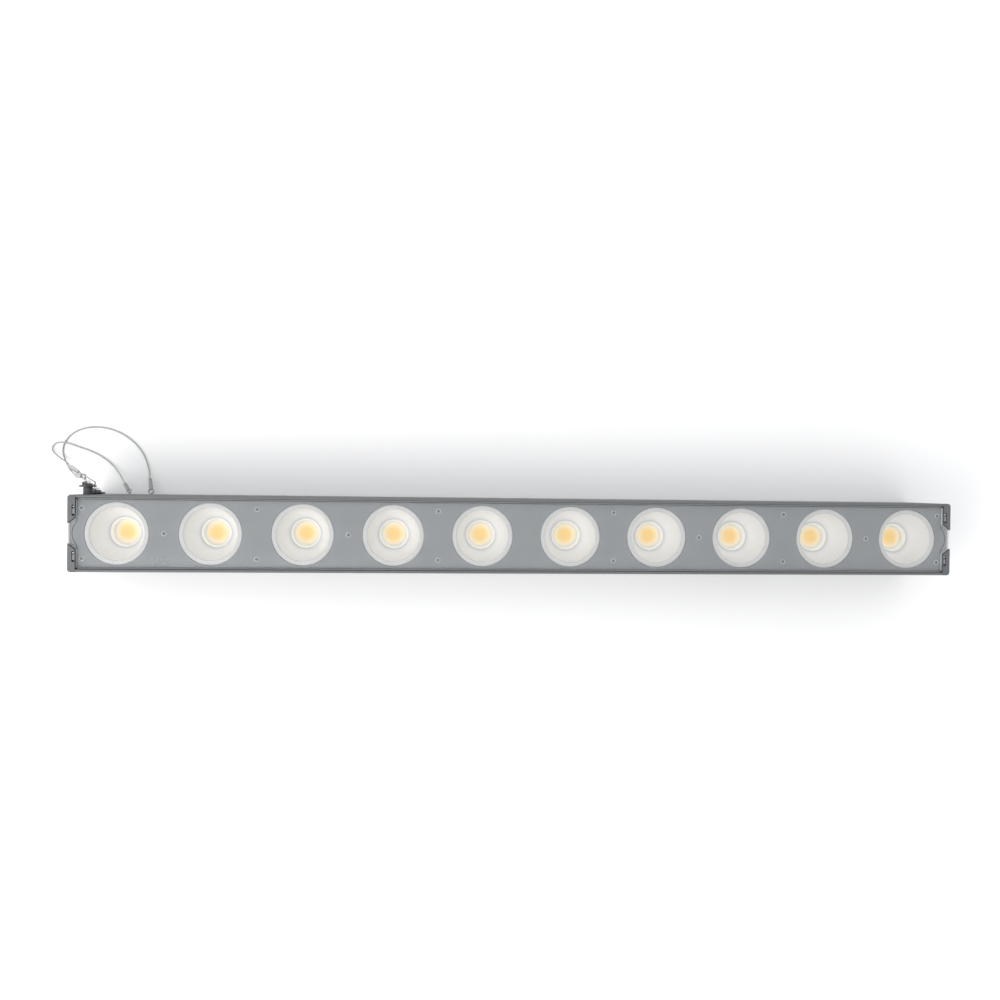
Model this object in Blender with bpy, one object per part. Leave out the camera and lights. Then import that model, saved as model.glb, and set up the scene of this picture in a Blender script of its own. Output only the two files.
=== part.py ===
"""LED strip batten: a one metre stage light with ten deep reflector cups, lying on its back.

X runs along the batten, +Z out of its light opening, and +Y is the long side with the lock pins.
The origin is on the back face, midway between the ends. Lengths here are in millimetres;
every mesh is scaled to metres when its object is made.
"""
import math

import bmesh
import bpy
from mathutils import Matrix, Vector

for old_object in list(bpy.data.objects):
    bpy.data.objects.remove(old_object, do_unlink=True)

MM = 0.001
FIT = 0.3                     # gap between neighbouring pieces
SHARP_ANGLE = 32.0            # edges that turn more than this stay sharp, in degrees

# Body
LENGTH = 1000.0
WIDTH = 84.0
DEPTH = 100.0
WALL = 3.0
SLOT_Y = 24.0                 # T-slots in the back
SLOT_NECK = 8.4
SLOT_ROOM = 15.0
SLOT_LIP = 1.8
SLOT_TOP = 6.4
RIM_RADIUS = 1.4              # rounding of the wall's outer front edge
CAP_THICK = 8.0
CAP_CORNER = 3.5
RAIL_HEIGHT = 7.7
FLOOR_LOW = 8.0
FLOOR_HIGH = 11.0
RIB_COUNT = 6
RIB_PITCH = 7.0
RIB_DEPTH = 1.4
RIB_FIRST = 42.0

# Light openings
CUP_COUNT = 10
CUP_SEGMENTS = 20
PITCH = 100.0
PLATE_LOW = 92.5
PLATE_HIGH = 94.0
OPENING_RADIUS = 34.4
COVER_LOW = 94.3
COVER_HIGH = 97.3
COVER_HALF = 37.1
BOARD_LOW = 50.0
BOARD_HIGH = 51.5
BOARD_SIDE = 34.0
PHOSPHOR_RADIUS = 12.0
SINK_LOW = 32.0
SINK_BASE = 44.0
SINK_HALF_LENGTH = 468.0
SINK_HALF_WIDTH = 38.3
SINK_FINS = 11
POST_RADIUS = 4.0
PLATE_END = 491.5             # plate's straight end, from the middle of the batten
PLATE_BULGE = (478.5, 18.0)   # centre and radius of the round nose at the plate's end
SEAL_SINK = 1.0               # how far the seals reach down beside the plate
SCREW_ROW = 27.5              # distance of a pair's screws from the centre line
END_SCREW = 487.0

# Corner lugs of the end caps
LUG_FOOT = 18.0               # half width between the lugs at the cap's inner face
LUG_TIP = 11.0                # half width between the lugs at its outer face
CAP_SADDLE = 92.2             # height of the cap between its lugs
LUG_SLOT = (3.0, 12.0, 3.2)   # width, length and depth of the slot in a lug
LUG_SLOT_CENTRE = 25.0
LUG_OVERLAP = 6.0             # how far a lug is sunk into the cap's plate before they are joined
CAP_BOSS_RADIUS = 3.8
CAP_BOSS_LOW = 60.0

# Lock pins
PIN_X = -485.0
PIN_RADIUS = 5.0
PIN_BORE = 5.45
PIN_DEPTH = 30.0
FLANGE_RADIUS = 9.0
FLANGE_THICK = 2.0
COLLAR_RADIUS = 5.0
COLLAR_HEIGHT = 2.0
BUTTON_RADIUS = 3.0
BUTTON_HOLE = 3.4
BUTTON_HOLE_DEPTH = 4.5
BUTTON_STAND = 3.5            # how far the push button stands above its collar
BUTTON_ROOM = 3.2             # free depth below the push button
RING_RADIUS = 3.4
RING_WIRE = 0.55
EAR_X = -1.2                  # the ring's ear, from the pin's axis
EAR_Z = 7.0
EAR_HALF_WIDTH = 2.4
EAR_HALF_THICK = 1.1
EAR_REACH = 4.1
EAR_HOLE = 1.15
EAR_HOLE_RISE = 2.2
PINS = {"upper": {"z": 80.0, "proud": 8.3}, "lower": {"z": 50.0, "proud": 0.6}}

# Lanyards: wire rope routes, chosen by hand, from the wall ferrule to the pin ferrule
ROPE_RADIUS = 0.8
ROPE_STEP = 4.8
EYE_WIRE = 0.7
SLEEVE_LENGTH = 14.0
SLEEVE_RADIUS = 2.2
ROUTES = {
    "upper": [
        (-437.9, 60.6, 6.1), (-439.0, 65.4, 3.6), (-440.6, 72.0, 1.7), (-443.6, 81.8, 1.0),
        (-448.0, 91.2, 1.0), (-454.6, 100.0, 1.0), (-462.9, 107.5, 1.0), (-472.5, 113.6, 1.0),
        (-483.0, 117.9, 1.0), (-494.3, 120.2, 1.0), (-505.7, 120.3, 1.0), (-516.1, 118.4, 1.0),
        (-525.2, 114.3, 1.0), (-532.6, 108.1, 1.0), (-537.4, 100.4, 1.0), (-539.0, 92.2, 1.0),
        (-537.6, 85.4, 1.5), (-534.6, 79.8, 4.5), (-529.8, 75.2, 12.5), (-523.6, 71.6, 26.0),
        (-516.6, 68.6, 41.0), (-509.4, 65.9, 55.5), (-501.7, 63.2, 69.8),
    ],
    "lower": [
        (-464.4, 54.1, 14.2), (-467.4, 58.0, 10.0), (-472.4, 64.6, 5.4), (-479.6, 73.4, 2.2),
        (-487.3, 80.5, 1.0), (-495.2, 86.1, 1.0), (-503.0, 90.3, 1.0), (-511.7, 93.9, 1.0),
        (-520.4, 96.8, 1.1), (-529.4, 99.9, 2.0), (-537.4, 101.7, 3.1), (-545.6, 100.9, 2.7),
        (-550.4, 96.4, 2.1), (-549.7, 91.3, 2.2), (-545.2, 86.9, 3.3), (-539.9, 83.2, 5.8),
        (-534.4, 80.4, 10.2), (-528.8, 78.0, 17.0), (-523.4, 75.4, 26.4), (-518.2, 72.8, 36.4),
    ],
}
WALL_EYES = {"upper": (-434.9, 45.5, 12.0), "lower": (-456.6, 45.5, 25.0)}
STAPLE_WIRE = 0.6
STAPLE_RISE = 4.5
EYE_RADIUS = 2.9              # centre line of the eyes
EYE_HANG = 0.8                # from an eye's centre to the bar that it hangs on
EYE_LEG = 1.0                 # half the distance between an eye's legs in the sleeve

# Panel on the long side
PANEL_X = 265.0
PANEL_Z = 21.5
PANEL_LENGTH = 104.0
PANEL_HEIGHT = 18.0
PANEL_THICK = 2.4
DISPLAY_X = -24.0
DISPLAY_SIZE = (38.0, 12.0)
BUTTON_PITCH = 11.0
MENU_BUTTON_RADIUS = 3.0
MENU_FIRST_X = 12.0
VENT_X = 250.0
VENT_BORE = 6.3

# Connectors in the end caps
SOCKET_Z = 26.5
SOCKET_Y = 15.5
SOCKET_RADIUS = 12.0
SOCKET_FLANGE = (27.0, 29.0, 2.0)
SOCKET_LENGTH = 22.0
CAVITY_RADIUS = 9.6
CAVITY_DEPTH = 14.0

FINISHES = {
    "body_grey": ((0.27, 0.28, 0.29), 0.5, 0.35),
    "cap_grey": ((0.16, 0.17, 0.18), 0.5, 0.3),
    "plate_grey": ((0.36, 0.38, 0.38), 0.55, 0.2),
    "clear": ((0.93, 0.95, 0.96), 0.05, 0.0),
    "rubber": ((0.02, 0.02, 0.02), 0.8, 0.0),
    "cup_white": ((0.74, 0.74, 0.72), 0.6, 0.0),
    "phosphor": ((0.95, 0.62, 0.16), 0.5, 0.0),
    "aluminium": ((0.62, 0.63, 0.65), 0.4, 0.9),
    "steel": ((0.6, 0.6, 0.6), 0.25, 1.0),
    "black_oxide": ((0.05, 0.05, 0.055), 0.35, 0.8),
    "board_green": ((0.03, 0.16, 0.07), 0.5, 0.0),
    "black_plastic": ((0.03, 0.03, 0.032), 0.45, 0.0),
    "display": ((0.02, 0.03, 0.05), 0.1, 0.0),
    "power_blue": ((0.05, 0.13, 0.42), 0.4, 0.0),
    "power_grey": ((0.45, 0.46, 0.48), 0.4, 0.0),
}


def material(name):
    """A Principled material with one of the object's finishes."""
    found = bpy.data.materials.get(name)
    if found:
        return found
    colour, roughness, metallic = FINISHES[name]
    made = bpy.data.materials.new(name)
    made.use_nodes = True
    shader = made.node_tree.nodes["Principled BSDF"]
    shader.inputs["Base Color"].default_value = (*colour, 1.0)
    shader.inputs["Roughness"].default_value = roughness
    shader.inputs["Metallic"].default_value = metallic
    if name == "clear":
        shader.inputs["Transmission Weight"].default_value = 1.0
    return made


def part(name, shape, finish, origin=(0.0, 0.0, 0.0)):
    """Turn a bmesh in millimetres into an object in metres that remembers its finish."""
    origin = Vector(origin)
    bmesh.ops.recalc_face_normals(shape, faces=shape.faces)
    move = Matrix.Scale(MM, 4) @ Matrix.Translation(-origin)
    bmesh.ops.transform(shape, matrix=move, verts=shape.verts)
    mesh = bpy.data.meshes.new(name)
    shape.to_mesh(mesh)
    shape.free()
    mesh.shade_smooth()
    mesh.set_sharp_from_angle(angle=math.radians(SHARP_ANGLE))
    made = bpy.data.objects.new(name, mesh)
    made.location = origin * MM
    made.data.materials.append(material(finish))
    made["finish"] = finish
    bpy.context.scene.collection.objects.link(made)
    return made


def combine(target, tools, operation):
    """Cut the tools out of the target, or join them to it, and remove them."""
    for tool in tools:
        modifier = target.modifiers.new("combine", "BOOLEAN")
        modifier.operation = operation
        modifier.solver = "EXACT"
        modifier.object = tool
        graph = bpy.context.evaluated_depsgraph_get()
        mesh = bpy.data.meshes.new_from_object(target.evaluated_get(graph))
        target.modifiers.clear()
        target.data = mesh
        bpy.data.objects.remove(tool, do_unlink=True)
    target.data.materials.clear()
    target.data.materials.append(material(target["finish"]))
    target.data.set_sharp_from_angle(angle=math.radians(SHARP_ANGLE))
    return target


def extruded(outline, axis, low, high):
    """A prism. The outline's two coordinates follow the two other axes in X, Y, Z order."""
    shape = bmesh.new()

    def place(point, level):
        spot = list(point)
        spot.insert("XYZ".index(axis), level)
        return spot

    face = shape.faces.new([shape.verts.new(place(point, low)) for point in outline])
    grown = bmesh.ops.extrude_face_region(shape, geom=[face])
    tops = [item for item in grown["geom"] if isinstance(item, bmesh.types.BMVert)]
    offset = Vector(place((0.0, 0.0), high - low))
    bmesh.ops.translate(shape, verts=tops, vec=offset)
    return shape


def rectangle(low, high):
    return [(low[0], low[1]), (high[0], low[1]), (high[0], high[1]), (low[0], high[1])]


def box(low, high):
    return extruded(rectangle(low[:2], high[:2]), "Z", low[2], high[2])


def arc(centre, radius, start, end, steps):
    """Points on an arc, angles in degrees."""
    angles = [math.radians(start + (end - start) * step / steps) for step in range(steps + 1)]
    return [(centre[0] + radius * math.cos(a), centre[1] + radius * math.sin(a)) for a in angles]


def rounded_rectangle(low, high, radius, steps=4):
    points = []
    corners = [(high[0], high[1]), (low[0], high[1]), (low[0], low[1]), (high[0], low[1])]
    signs = [(-1, -1), (1, -1), (1, 1), (-1, 1)]
    for turn, (corner, sign) in enumerate(zip(corners, signs)):
        centre = (corner[0] + sign[0] * radius, corner[1] + sign[1] * radius)
        points += arc(centre, radius, 90 * turn, 90 * turn + 90, steps)
    return points


def turned(profile, frame, segments, closed=False):
    """Turn (radius, height) points about the frame's Z axis."""
    shape = bmesh.new()
    rings = []
    for radius, height in profile:
        if radius == 0.0:
            rings.append([shape.verts.new(frame @ Vector((0.0, 0.0, height)))])
            continue
        ring = []
        for step in range(segments):
            angle = math.tau * step / segments
            spot = Vector((radius * math.cos(angle), radius * math.sin(angle), height))
            ring.append(shape.verts.new(frame @ spot))
        rings.append(ring)
    pairs = list(zip(rings, rings[1:]))
    if closed:
        pairs.append((rings[-1], rings[0]))
    for lower, upper in pairs:
        for step in range(segments):
            after = (step + 1) % segments
            corners = [lower[step % len(lower)], lower[after % len(lower)]]
            corners += [upper[after % len(upper)], upper[step % len(upper)]]
            unique = list(dict.fromkeys(corners))
            if len(unique) > 2:
                shape.faces.new(unique)
    return shape


def frame_at(centre, direction):
    """A frame whose Z axis points along a direction."""
    turn = Vector((0.0, 0.0, 1.0)).rotation_difference(Vector(direction).normalized())
    return Matrix.Translation(Vector(centre)) @ turn.to_matrix().to_4x4()


def cylinder(centre, direction, radius, low, high, segments=16):
    profile = [(0.0, low), (radius, low), (radius, high), (0.0, high)]
    return turned(profile, frame_at(centre, direction), segments)


def swept(path, radius, sides):
    """A round bar along a path, kept from twisting by carrying its side direction along."""
    shape = bmesh.new()
    points = [Vector(point) for point in path]
    side = None
    rings = []
    for index, point in enumerate(points):
        before = points[max(index - 1, 0)]
        after = points[min(index + 1, len(points) - 1)]
        along = (after - before).normalized()
        if side is None:
            side = along.orthogonal()
        side = (side - along * side.dot(along)).normalized()
        other = along.cross(side)
        ring = []
        for step in range(sides):
            angle = math.tau * step / sides
            ring.append(shape.verts.new(point + radius * (math.cos(angle) * side + math.sin(angle) * other)))
        rings.append(ring)
    for lower, upper in zip(rings, rings[1:]):
        for step in range(sides):
            after = (step + 1) % sides
            shape.faces.new([lower[step], lower[after], upper[after], upper[step]])
    shape.faces.new(rings[0])
    shape.faces.new(list(reversed(rings[-1])))
    return shape


def make_housing():
    """U extrusion: floor, two walls with cooling ribs, rounded front rims and round corners."""
    half = WIDTH / 2
    inner = half - WALL
    side = [(half - 0.6, 0.0), (half, 0.6)]
    for rib in range(RIB_COUNT):
        level = RIB_FIRST + rib * RIB_PITCH
        side += [(half, level), (half - RIB_DEPTH, level + 0.8)]
        side += [(half - RIB_DEPTH, level + 3.0), (half, level + 3.8)]
    side += arc((half - RIM_RADIUS, DEPTH - RIM_RADIUS), RIM_RADIUS, 0, 90, 3)
    side += [(inner + 0.3, DEPTH), (inner, DEPTH - 0.3)]
    side += [(inner, FLOOR_HIGH + 1.0), (inner - 1.0, FLOOR_HIGH)]
    left_side = [(-y, z) for y, z in reversed(side)]
    foot = [(-inner, 0.0), (-inner, FLOOR_LOW), (inner, FLOOR_LOW), (inner, 0.0)]
    half_length = LENGTH / 2 - CAP_THICK - FIT
    housing = part("housing", extruded(side + left_side + foot, "X", -half_length, half_length), "body_grey")
    cutters = []
    for end in (-1, 1):
        for pin in PINS.values():
            spot = (end * abs(PIN_X), half - WALL / 2, pin["z"])
            bore = cylinder(spot, (0, 1, 0), PIN_BORE, -WALL, WALL, 20)
            cutters.append(part("cutter", bore, "body_grey"))
    low = (PANEL_X - PANEL_LENGTH / 2, PANEL_Z - PANEL_HEIGHT / 2)
    high = (PANEL_X + PANEL_LENGTH / 2, PANEL_Z + PANEL_HEIGHT / 2)
    opening = extruded(rounded_rectangle(low, high, 3.0), "Y", -half - WALL, -inner + WALL)
    cutters.append(part("cutter", opening, "body_grey"))
    vent_bore = cylinder((-VENT_X, -half, PANEL_Z), (0, 1, 0), VENT_BORE, -WALL, 2 * WALL, 20)
    cutters.append(part("cutter", vent_bore, "body_grey"))
    combine(housing, cutters, "DIFFERENCE")


def make_base_rail():
    """Back extrusion between the walls, with two T-slots that open backwards."""
    half = WIDTH / 2 - WALL - FIT
    outline = [(half, 0.0), (half, RAIL_HEIGHT), (-half, RAIL_HEIGHT), (-half, 0.0)]
    for centre in (-SLOT_Y, SLOT_Y):
        neck = SLOT_NECK / 2
        room = SLOT_ROOM / 2
        outline += [(centre - neck, 0.0), (centre - neck, SLOT_LIP), (centre - room, SLOT_LIP)]
        outline += [(centre - room, SLOT_TOP), (centre + room, SLOT_TOP), (centre + room, SLOT_LIP)]
        outline += [(centre + neck, SLOT_LIP), (centre + neck, 0.0)]
    half_length = LENGTH / 2 - CAP_THICK - FIT
    part("base_rail", extruded(outline, "X", -half_length, half_length), "aluminium")


def flipped(points, end):
    """An outline in X and Y for one of the ends: -1 left, 1 right."""
    return [(end * x, y) for x, y in points]


def cap_corner(side):
    """Rounded outer corner of an end cap, from its outer face to its long side."""
    centre = (LENGTH / 2 - CAP_CORNER, WIDTH / 2 - CAP_CORNER)
    return [(x, side * y) for x, y in arc(centre, CAP_CORNER, 0, 90, 4)]


def cap_joins(end):
    """Two corner lugs, and a boss on a web for the face screw that has no link block."""
    inner = LENGTH / 2 - CAP_THICK
    shapes = []
    for side in (-1, 1):
        lug = [(inner, side * LUG_FOOT), (LENGTH / 2, side * LUG_TIP)] + cap_corner(side)
        lug.append((inner, side * WIDTH / 2))
        shapes.append(extruded(flipped(lug, end), "Z", CAP_SADDLE - LUG_OVERLAP, DEPTH))
    foot = (end * END_SCREW, -SCREW_ROW, 0.0)
    shapes.append(cylinder(foot, (0, 0, 1), CAP_BOSS_RADIUS, CAP_BOSS_LOW, CAP_SADDLE - 0.4, 14))
    near, far = sorted((end * END_SCREW, end * (inner + 2)))
    web_low = (near, -SCREW_ROW - 1.5, CAP_BOSS_LOW + 2.0)
    web_high = (far, -SCREW_ROW + 1.5, CAP_SADDLE - 1.2)
    shapes.append(box(web_low, web_high))
    return shapes


def cap_cutters(end):
    """For each side a slot in the lug, and a connector's bore with its flange pocket."""
    width, length, depth = LUG_SLOT
    wide, tall, thick = SOCKET_FLANGE
    outer = LENGTH / 2
    shapes = []
    for side in (-1, 1):
        x, y = end * (outer - 6.0), side * LUG_SLOT_CENTRE
        low, high = (x - width / 2, y - length / 2), (x + width / 2, y + length / 2)
        slot = rounded_rectangle(low, high, width / 2 - 0.1, 3)
        shapes.append(extruded(slot, "Z", DEPTH - depth, DEPTH + 2.0))
        y = side * SOCKET_Y
        shapes.append(cylinder((end * outer, y, SOCKET_Z), (1, 0, 0), SOCKET_RADIUS + 0.5, -20.0, 20.0, 18))
        low = (y - wide / 2 - FIT, SOCKET_Z - tall / 2 - FIT)
        high = (y + wide / 2 + FIT, SOCKET_Z + tall / 2 + FIT)
        near, far = sorted((end * (outer - thick - FIT), end * (outer + 5.0)))
        shapes.append(extruded(rounded_rectangle(low, high, 2.3), "X", near, far))
    return shapes


def make_end_cap(name, end):
    """Plate with two corner lugs, an inner screw boss and two connector holes."""
    inner = LENGTH / 2 - CAP_THICK
    outline = [(inner, -WIDTH / 2)] + list(reversed(cap_corner(-1))) + cap_corner(1)
    outline.append((inner, WIDTH / 2))
    cap = part(name, extruded(flipped(outline, end), "Z", 0.0, CAP_SADDLE), "cap_grey")
    combine(cap, [part("join", shape, "cap_grey") for shape in cap_joins(end)], "UNION")
    combine(cap, [part("cutter", shape, "cap_grey") for shape in cap_cutters(end)], "DIFFERENCE")


def cup_centres():
    return [(index - (CUP_COUNT - 1) / 2) * PITCH for index in range(CUP_COUNT)]


def plate_outline():
    """The plate's ends are straight, with a round nose between the lugs."""
    half = WIDTH / 2 - WALL - 2.0
    centre, radius = PLATE_BULGE
    reach = math.degrees(math.acos((PLATE_END - centre) / radius))
    nose = arc((centre, 0.0), radius, -reach, reach, 8)
    right = [(PLATE_END, -half)] + nose + [(PLATE_END, half)]
    return right + [(-x, -y) for x, y in right]


def cover_outline():
    """A long plate with a tapered tongue between the lugs at each end."""
    inner = LENGTH / 2 - CAP_THICK - FIT
    foot = LUG_FOOT - 2 * FIT
    tip = LUG_TIP - FIT
    tongue_end = LENGTH / 2 - 0.4
    right = [(inner, -COVER_HALF), (inner, -foot), (tongue_end, -tip)]
    right += [(tongue_end, tip), (inner, foot), (inner, COVER_HALF)]
    return right + [(-x, -y) for x, y in right]


def make_front():
    """Grey plate with its openings, the clear cover over it and the seals beside the cover."""
    plate = part("face_plate", extruded(plate_outline(), "Z", PLATE_LOW, PLATE_HIGH), "plate_grey")
    cutters = []
    for x in cup_centres():
        hole = cylinder((x, 0.0, 0.0), (0, 0, 1), OPENING_RADIUS, PLATE_LOW - 2, PLATE_HIGH + 2, CUP_SEGMENTS)
        cutters.append(part("cutter", hole, "plate_grey"))
    combine(plate, cutters, "DIFFERENCE")

    part("clear_cover", extruded(cover_outline(), "Z", COVER_LOW, COVER_HIGH), "clear")

    half_length = LENGTH / 2 - CAP_THICK - FIT - 1.0
    outer = WIDTH / 2 - WALL - FIT
    for name, side in (("cover_seal_upper", 1), ("cover_seal_lower", -1)):
        low, high = sorted((side * (COVER_HALF + FIT), side * outer))
        strip = box((-half_length, low, PLATE_HIGH - SEAL_SINK), (half_length, high, COVER_HIGH - 0.6))
        part(name, strip, "rubber")


def cup_profile():
    """Closed section of one cup: bowl, groove, collar round the light, foot and flange."""
    bowl = [(29.5, 92.5), (28.6, 82.0), (25.8, 71.0), (21.4, 63.4), (17.6, 59.6)]
    groove = [(17.4, 58.4), (16.7, 58.4)]
    collar = [(16.5, 60.4), (15.2, 60.4), (15.0, 51.9)]
    outside = [(17.4, 51.9), (18.6, 57.0), (24.2, 62.4), (28.2, 70.0), (31.0, 82.0), (31.7, 90.0)]
    lip = [(36.8, 90.0), (36.8, 92.1), (33.7, 92.1), (33.7, 93.7)]
    return bowl + groove + collar + outside + lip


def make_lights():
    """Each cup stands on its LED board."""
    for number, x in enumerate(cup_centres(), start=1):
        frame = Matrix.Translation((x, 0.0, 0.0))
        cup = turned(cup_profile(), frame, CUP_SEGMENTS, closed=True)
        part(f"reflector_cup_{number:02d}", cup, "cup_white")
        half = BOARD_SIDE / 2
        base = box((x - half, -half, BOARD_LOW), (x + half, half, BOARD_HIGH))
        board = part(f"cob_led_{number:02d}", base, "phosphor")
        low, high = BOARD_HIGH - 0.5, BOARD_HIGH + 0.5
        dome = [(0.0, low), (PHOSPHOR_RADIUS, low), (PHOSPHOR_RADIUS, high), (0.0, high + 0.7)]
        combine(board, [part("dome", turned(dome, frame, 12), "phosphor")], "UNION")


def post_places():
    """One screw and a pair of screws take turns in the gaps between the cups."""
    places = []
    for gap in range(1, CUP_COUNT):
        x = (gap - CUP_COUNT / 2) * PITCH
        if gap % 2:
            places.append((x, 0.0))
        else:
            places += [(x, -SCREW_ROW), (x, SCREW_ROW)]
    return places


def make_heat_sink():
    """Finned extrusion that carries the boards, with the standoffs of the face screws on it."""
    pitch = 2 * (SINK_HALF_WIDTH - 1.0) / (SINK_FINS - 1)
    outline = [(-SINK_HALF_WIDTH, BOARD_LOW - FIT), (-SINK_HALF_WIDTH, SINK_LOW)]
    for fin in range(SINK_FINS):
        y = -SINK_HALF_WIDTH + 1.0 + fin * pitch
        if fin:
            outline += [(y - 1.0, SINK_BASE), (y - 0.8, SINK_LOW)]
        if fin < SINK_FINS - 1:
            outline += [(y + 0.8, SINK_LOW), (y + 1.0, SINK_BASE)]
    outline += [(SINK_HALF_WIDTH, SINK_LOW), (SINK_HALF_WIDTH, BOARD_LOW - FIT)]
    sink = part("heat_sink", extruded(outline, "X", -SINK_HALF_LENGTH, SINK_HALF_LENGTH), "aluminium")
    posts = []
    for x, y in post_places():
        post = cylinder((x, y, 0.0), (0, 0, 1), POST_RADIUS, SINK_BASE + 2.0, PLATE_LOW - FIT, 10)
        posts.append(part("post", post, "aluminium"))
    combine(sink, posts, "UNION")


def stack(name, finish, blocks):
    """Boxes joined into one piece; each block overlaps the first one."""
    first, *others = [part(name, box(*block), finish) for block in blocks]
    return combine(first, others, "UNION")


def make_electronics():
    """Power supply, LED driver and control board on the housing's floor, under the heat sink."""
    floor = FLOOR_HIGH + FIT
    stack("power_supply", "aluminium", [
        ((-340.0, -31.0, floor), (-120.0, 31.0, 30.0)),
        ((-121.0, -24.0, floor + 1.0), (-108.0, 24.0, 20.0)),
    ])
    driver = [((-60.0, -28.0, 14.0), (150.0, 28.0, 15.6))]
    for channel in range(CUP_COUNT):
        x = -50.0 + channel * 20.0
        driver.append(((x, -12.0, 15.0), (x + 11.0, -1.0, 24.0)))
        driver.append(((x + 1.0, 8.0, 15.0), (x + 9.0, 18.0, 19.0)))
    driver += [((-56.0, -26.0, floor), (-50.0, -20.0, 15.0)), ((140.0, 20.0, floor), (146.0, 26.0, 15.0))]
    stack("driver_board", "board_green", driver)
    stack("control_board", "board_green", [
        ((200.0, -20.0, 14.0), (330.0, 24.0, 15.6)),
        ((230.0, -8.0, 15.0), (248.0, 10.0, 18.0)),
        ((264.0, -4.0, 15.0), (276.0, 8.0, 17.4)),
        ((300.0, 2.0, 15.0), (322.0, 18.0, 25.0)),
        ((206.0, 14.0, floor), (212.0, 20.0, 15.0)),
    ])


def make_link_blocks():
    """Drilled block behind the side wall at each end; the lock pins run in it."""
    half = WIDTH / 2
    for name, end in (("link_block_left", -1), ("link_block_right", 1)):
        low, high = sorted((end * 491.4, end * 478.4))
        block = part(name, box((low, 17.0, 40.4), (high, half - WALL - FIT, 89.0)), "aluminium")
        boss = cylinder((end * END_SCREW, SCREW_ROW, 0.0), (0, 0, 1), 4.0, 86.0, PLATE_LOW - FIT, 14)
        combine(block, [part("boss", boss, "aluminium")], "UNION")
        bores = []
        for pin in PINS.values():
            spot = (end * abs(PIN_X), half, pin["z"])
            bores.append(part("bore", cylinder(spot, (0, 1, 0), PIN_BORE, -40.0, 4.0, 20), "aluminium"))
        combine(block, bores, "DIFFERENCE")


def pin_levels(pin):
    """Heights along the pin's axis: flange underside, flange top and collar top."""
    under = WIDTH / 2 + pin["proud"]
    return under, under + FLANGE_THICK, under + FLANGE_THICK + COLLAR_HEIGHT


def make_lock_pin(name, pin):
    """Shank, flange, collar with the push button's hole, and an ear for the ring."""
    under, top, collar = pin_levels(pin)
    frame = frame_at((PIN_X, 0.0, pin["z"]), (0, 1, 0))
    tip = under - PIN_DEPTH
    profile = [(0.0, tip - 1.0), (PIN_RADIUS - 1.6, tip - 1.0), (PIN_RADIUS, tip + 1.2), (PIN_RADIUS, under)]
    profile += [(FLANGE_RADIUS - 0.5, under), (FLANGE_RADIUS, under + 0.5), (FLANGE_RADIUS, top - 0.5)]
    profile += [(FLANGE_RADIUS - 0.5, top), (COLLAR_RADIUS, top), (COLLAR_RADIUS - 0.4, collar)]
    hole_floor = collar - BUTTON_HOLE_DEPTH
    profile += [(BUTTON_HOLE, collar), (BUTTON_HOLE, hole_floor), (0.0, hole_floor)]
    origin = (PIN_X, under, pin["z"])
    lock_pin = part(name, turned(profile, frame, 20), "black_oxide", origin)
    ear_x = PIN_X + EAR_X
    ear_z = pin["z"] + EAR_Z
    outline = [(ear_x + EAR_HALF_WIDTH, top - 1.0)]
    outline += arc((ear_x, top + EAR_REACH - EAR_HALF_WIDTH), EAR_HALF_WIDTH, 0, 180, 8)
    outline += [(ear_x - EAR_HALF_WIDTH, top - 1.0)]
    ear = part("ear", extruded(outline, "Z", ear_z - EAR_HALF_THICK, ear_z + EAR_HALF_THICK), "black_oxide")
    combine(lock_pin, [ear], "UNION")
    hole = cylinder((ear_x, top + EAR_HOLE_RISE, ear_z), (0, 0, 1), EAR_HOLE, -2.0, 2.0, 14)
    combine(lock_pin, [part("hole", hole, "black_oxide")], "DIFFERENCE")


def make_pin_button(name, pin):
    """Domed plunger that frees the locking balls when it is pressed."""
    collar = pin_levels(pin)[2]
    frame = frame_at((PIN_X, 0.0, pin["z"]), (0, 1, 0))
    low = collar - BUTTON_HOLE_DEPTH + BUTTON_ROOM
    high = collar + BUTTON_STAND
    profile = [(0.0, low), (BUTTON_RADIUS, low), (BUTTON_RADIUS, high - 1.6)]
    profile += [(BUTTON_RADIUS * 0.86, high - 0.7), (BUTTON_RADIUS * 0.5, high - 0.15), (0.0, high)]
    part(name, turned(profile, frame, 16), "steel", (PIN_X, collar, pin["z"]))


def ring_hole(pin):
    top = pin_levels(pin)[1]
    return Vector((PIN_X + EAR_X, top + EAR_HOLE_RISE, pin["z"] + EAR_Z))


def make_split_ring(name, pin):
    """Ring through the ear, standing in the plane of the pin's axis and the light's direction."""
    centre = ring_hole(pin) + Vector((0.0, RING_RADIUS, 0.0))
    section = arc((RING_RADIUS, 0.0), RING_WIRE, 0, 300, 5)
    part(name, turned(section, frame_at(centre, (1, 0, 0)), 14, closed=True), "steel")


def smooth_curve(route, step):
    """Points at equal steps along a Catmull-Rom curve through the route."""
    spots = [Vector(point) for point in route]
    ends = [spots[0] * 2 - spots[1]] + spots + [spots[-1] * 2 - spots[-2]]
    dense = []
    for a, b, c, d in zip(ends, ends[1:], ends[2:], ends[3:]):
        for part_step in range(20):
            t = part_step / 20
            linear = 2 * b + (c - a) * t
            square = (2 * a - 5 * b + 4 * c - d) * t * t
            dense.append(0.5 * (linear + square + (3 * b - a - 3 * c + d) * t ** 3))
    dense.append(spots[-1])
    lengths = [0.0]
    for before, after in zip(dense, dense[1:]):
        lengths.append(lengths[-1] + (after - before).length)
    count = max(2, round(lengths[-1] / step))
    points = []
    index = 0
    for number in range(count + 1):
        wanted = lengths[-1] * number / count
        while index < len(dense) - 2 and lengths[index + 1] < wanted:
            index += 1
        share = (wanted - lengths[index]) / (lengths[index + 1] - lengths[index])
        points.append(dense[index].lerp(dense[index + 1], share))
    return points


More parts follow.
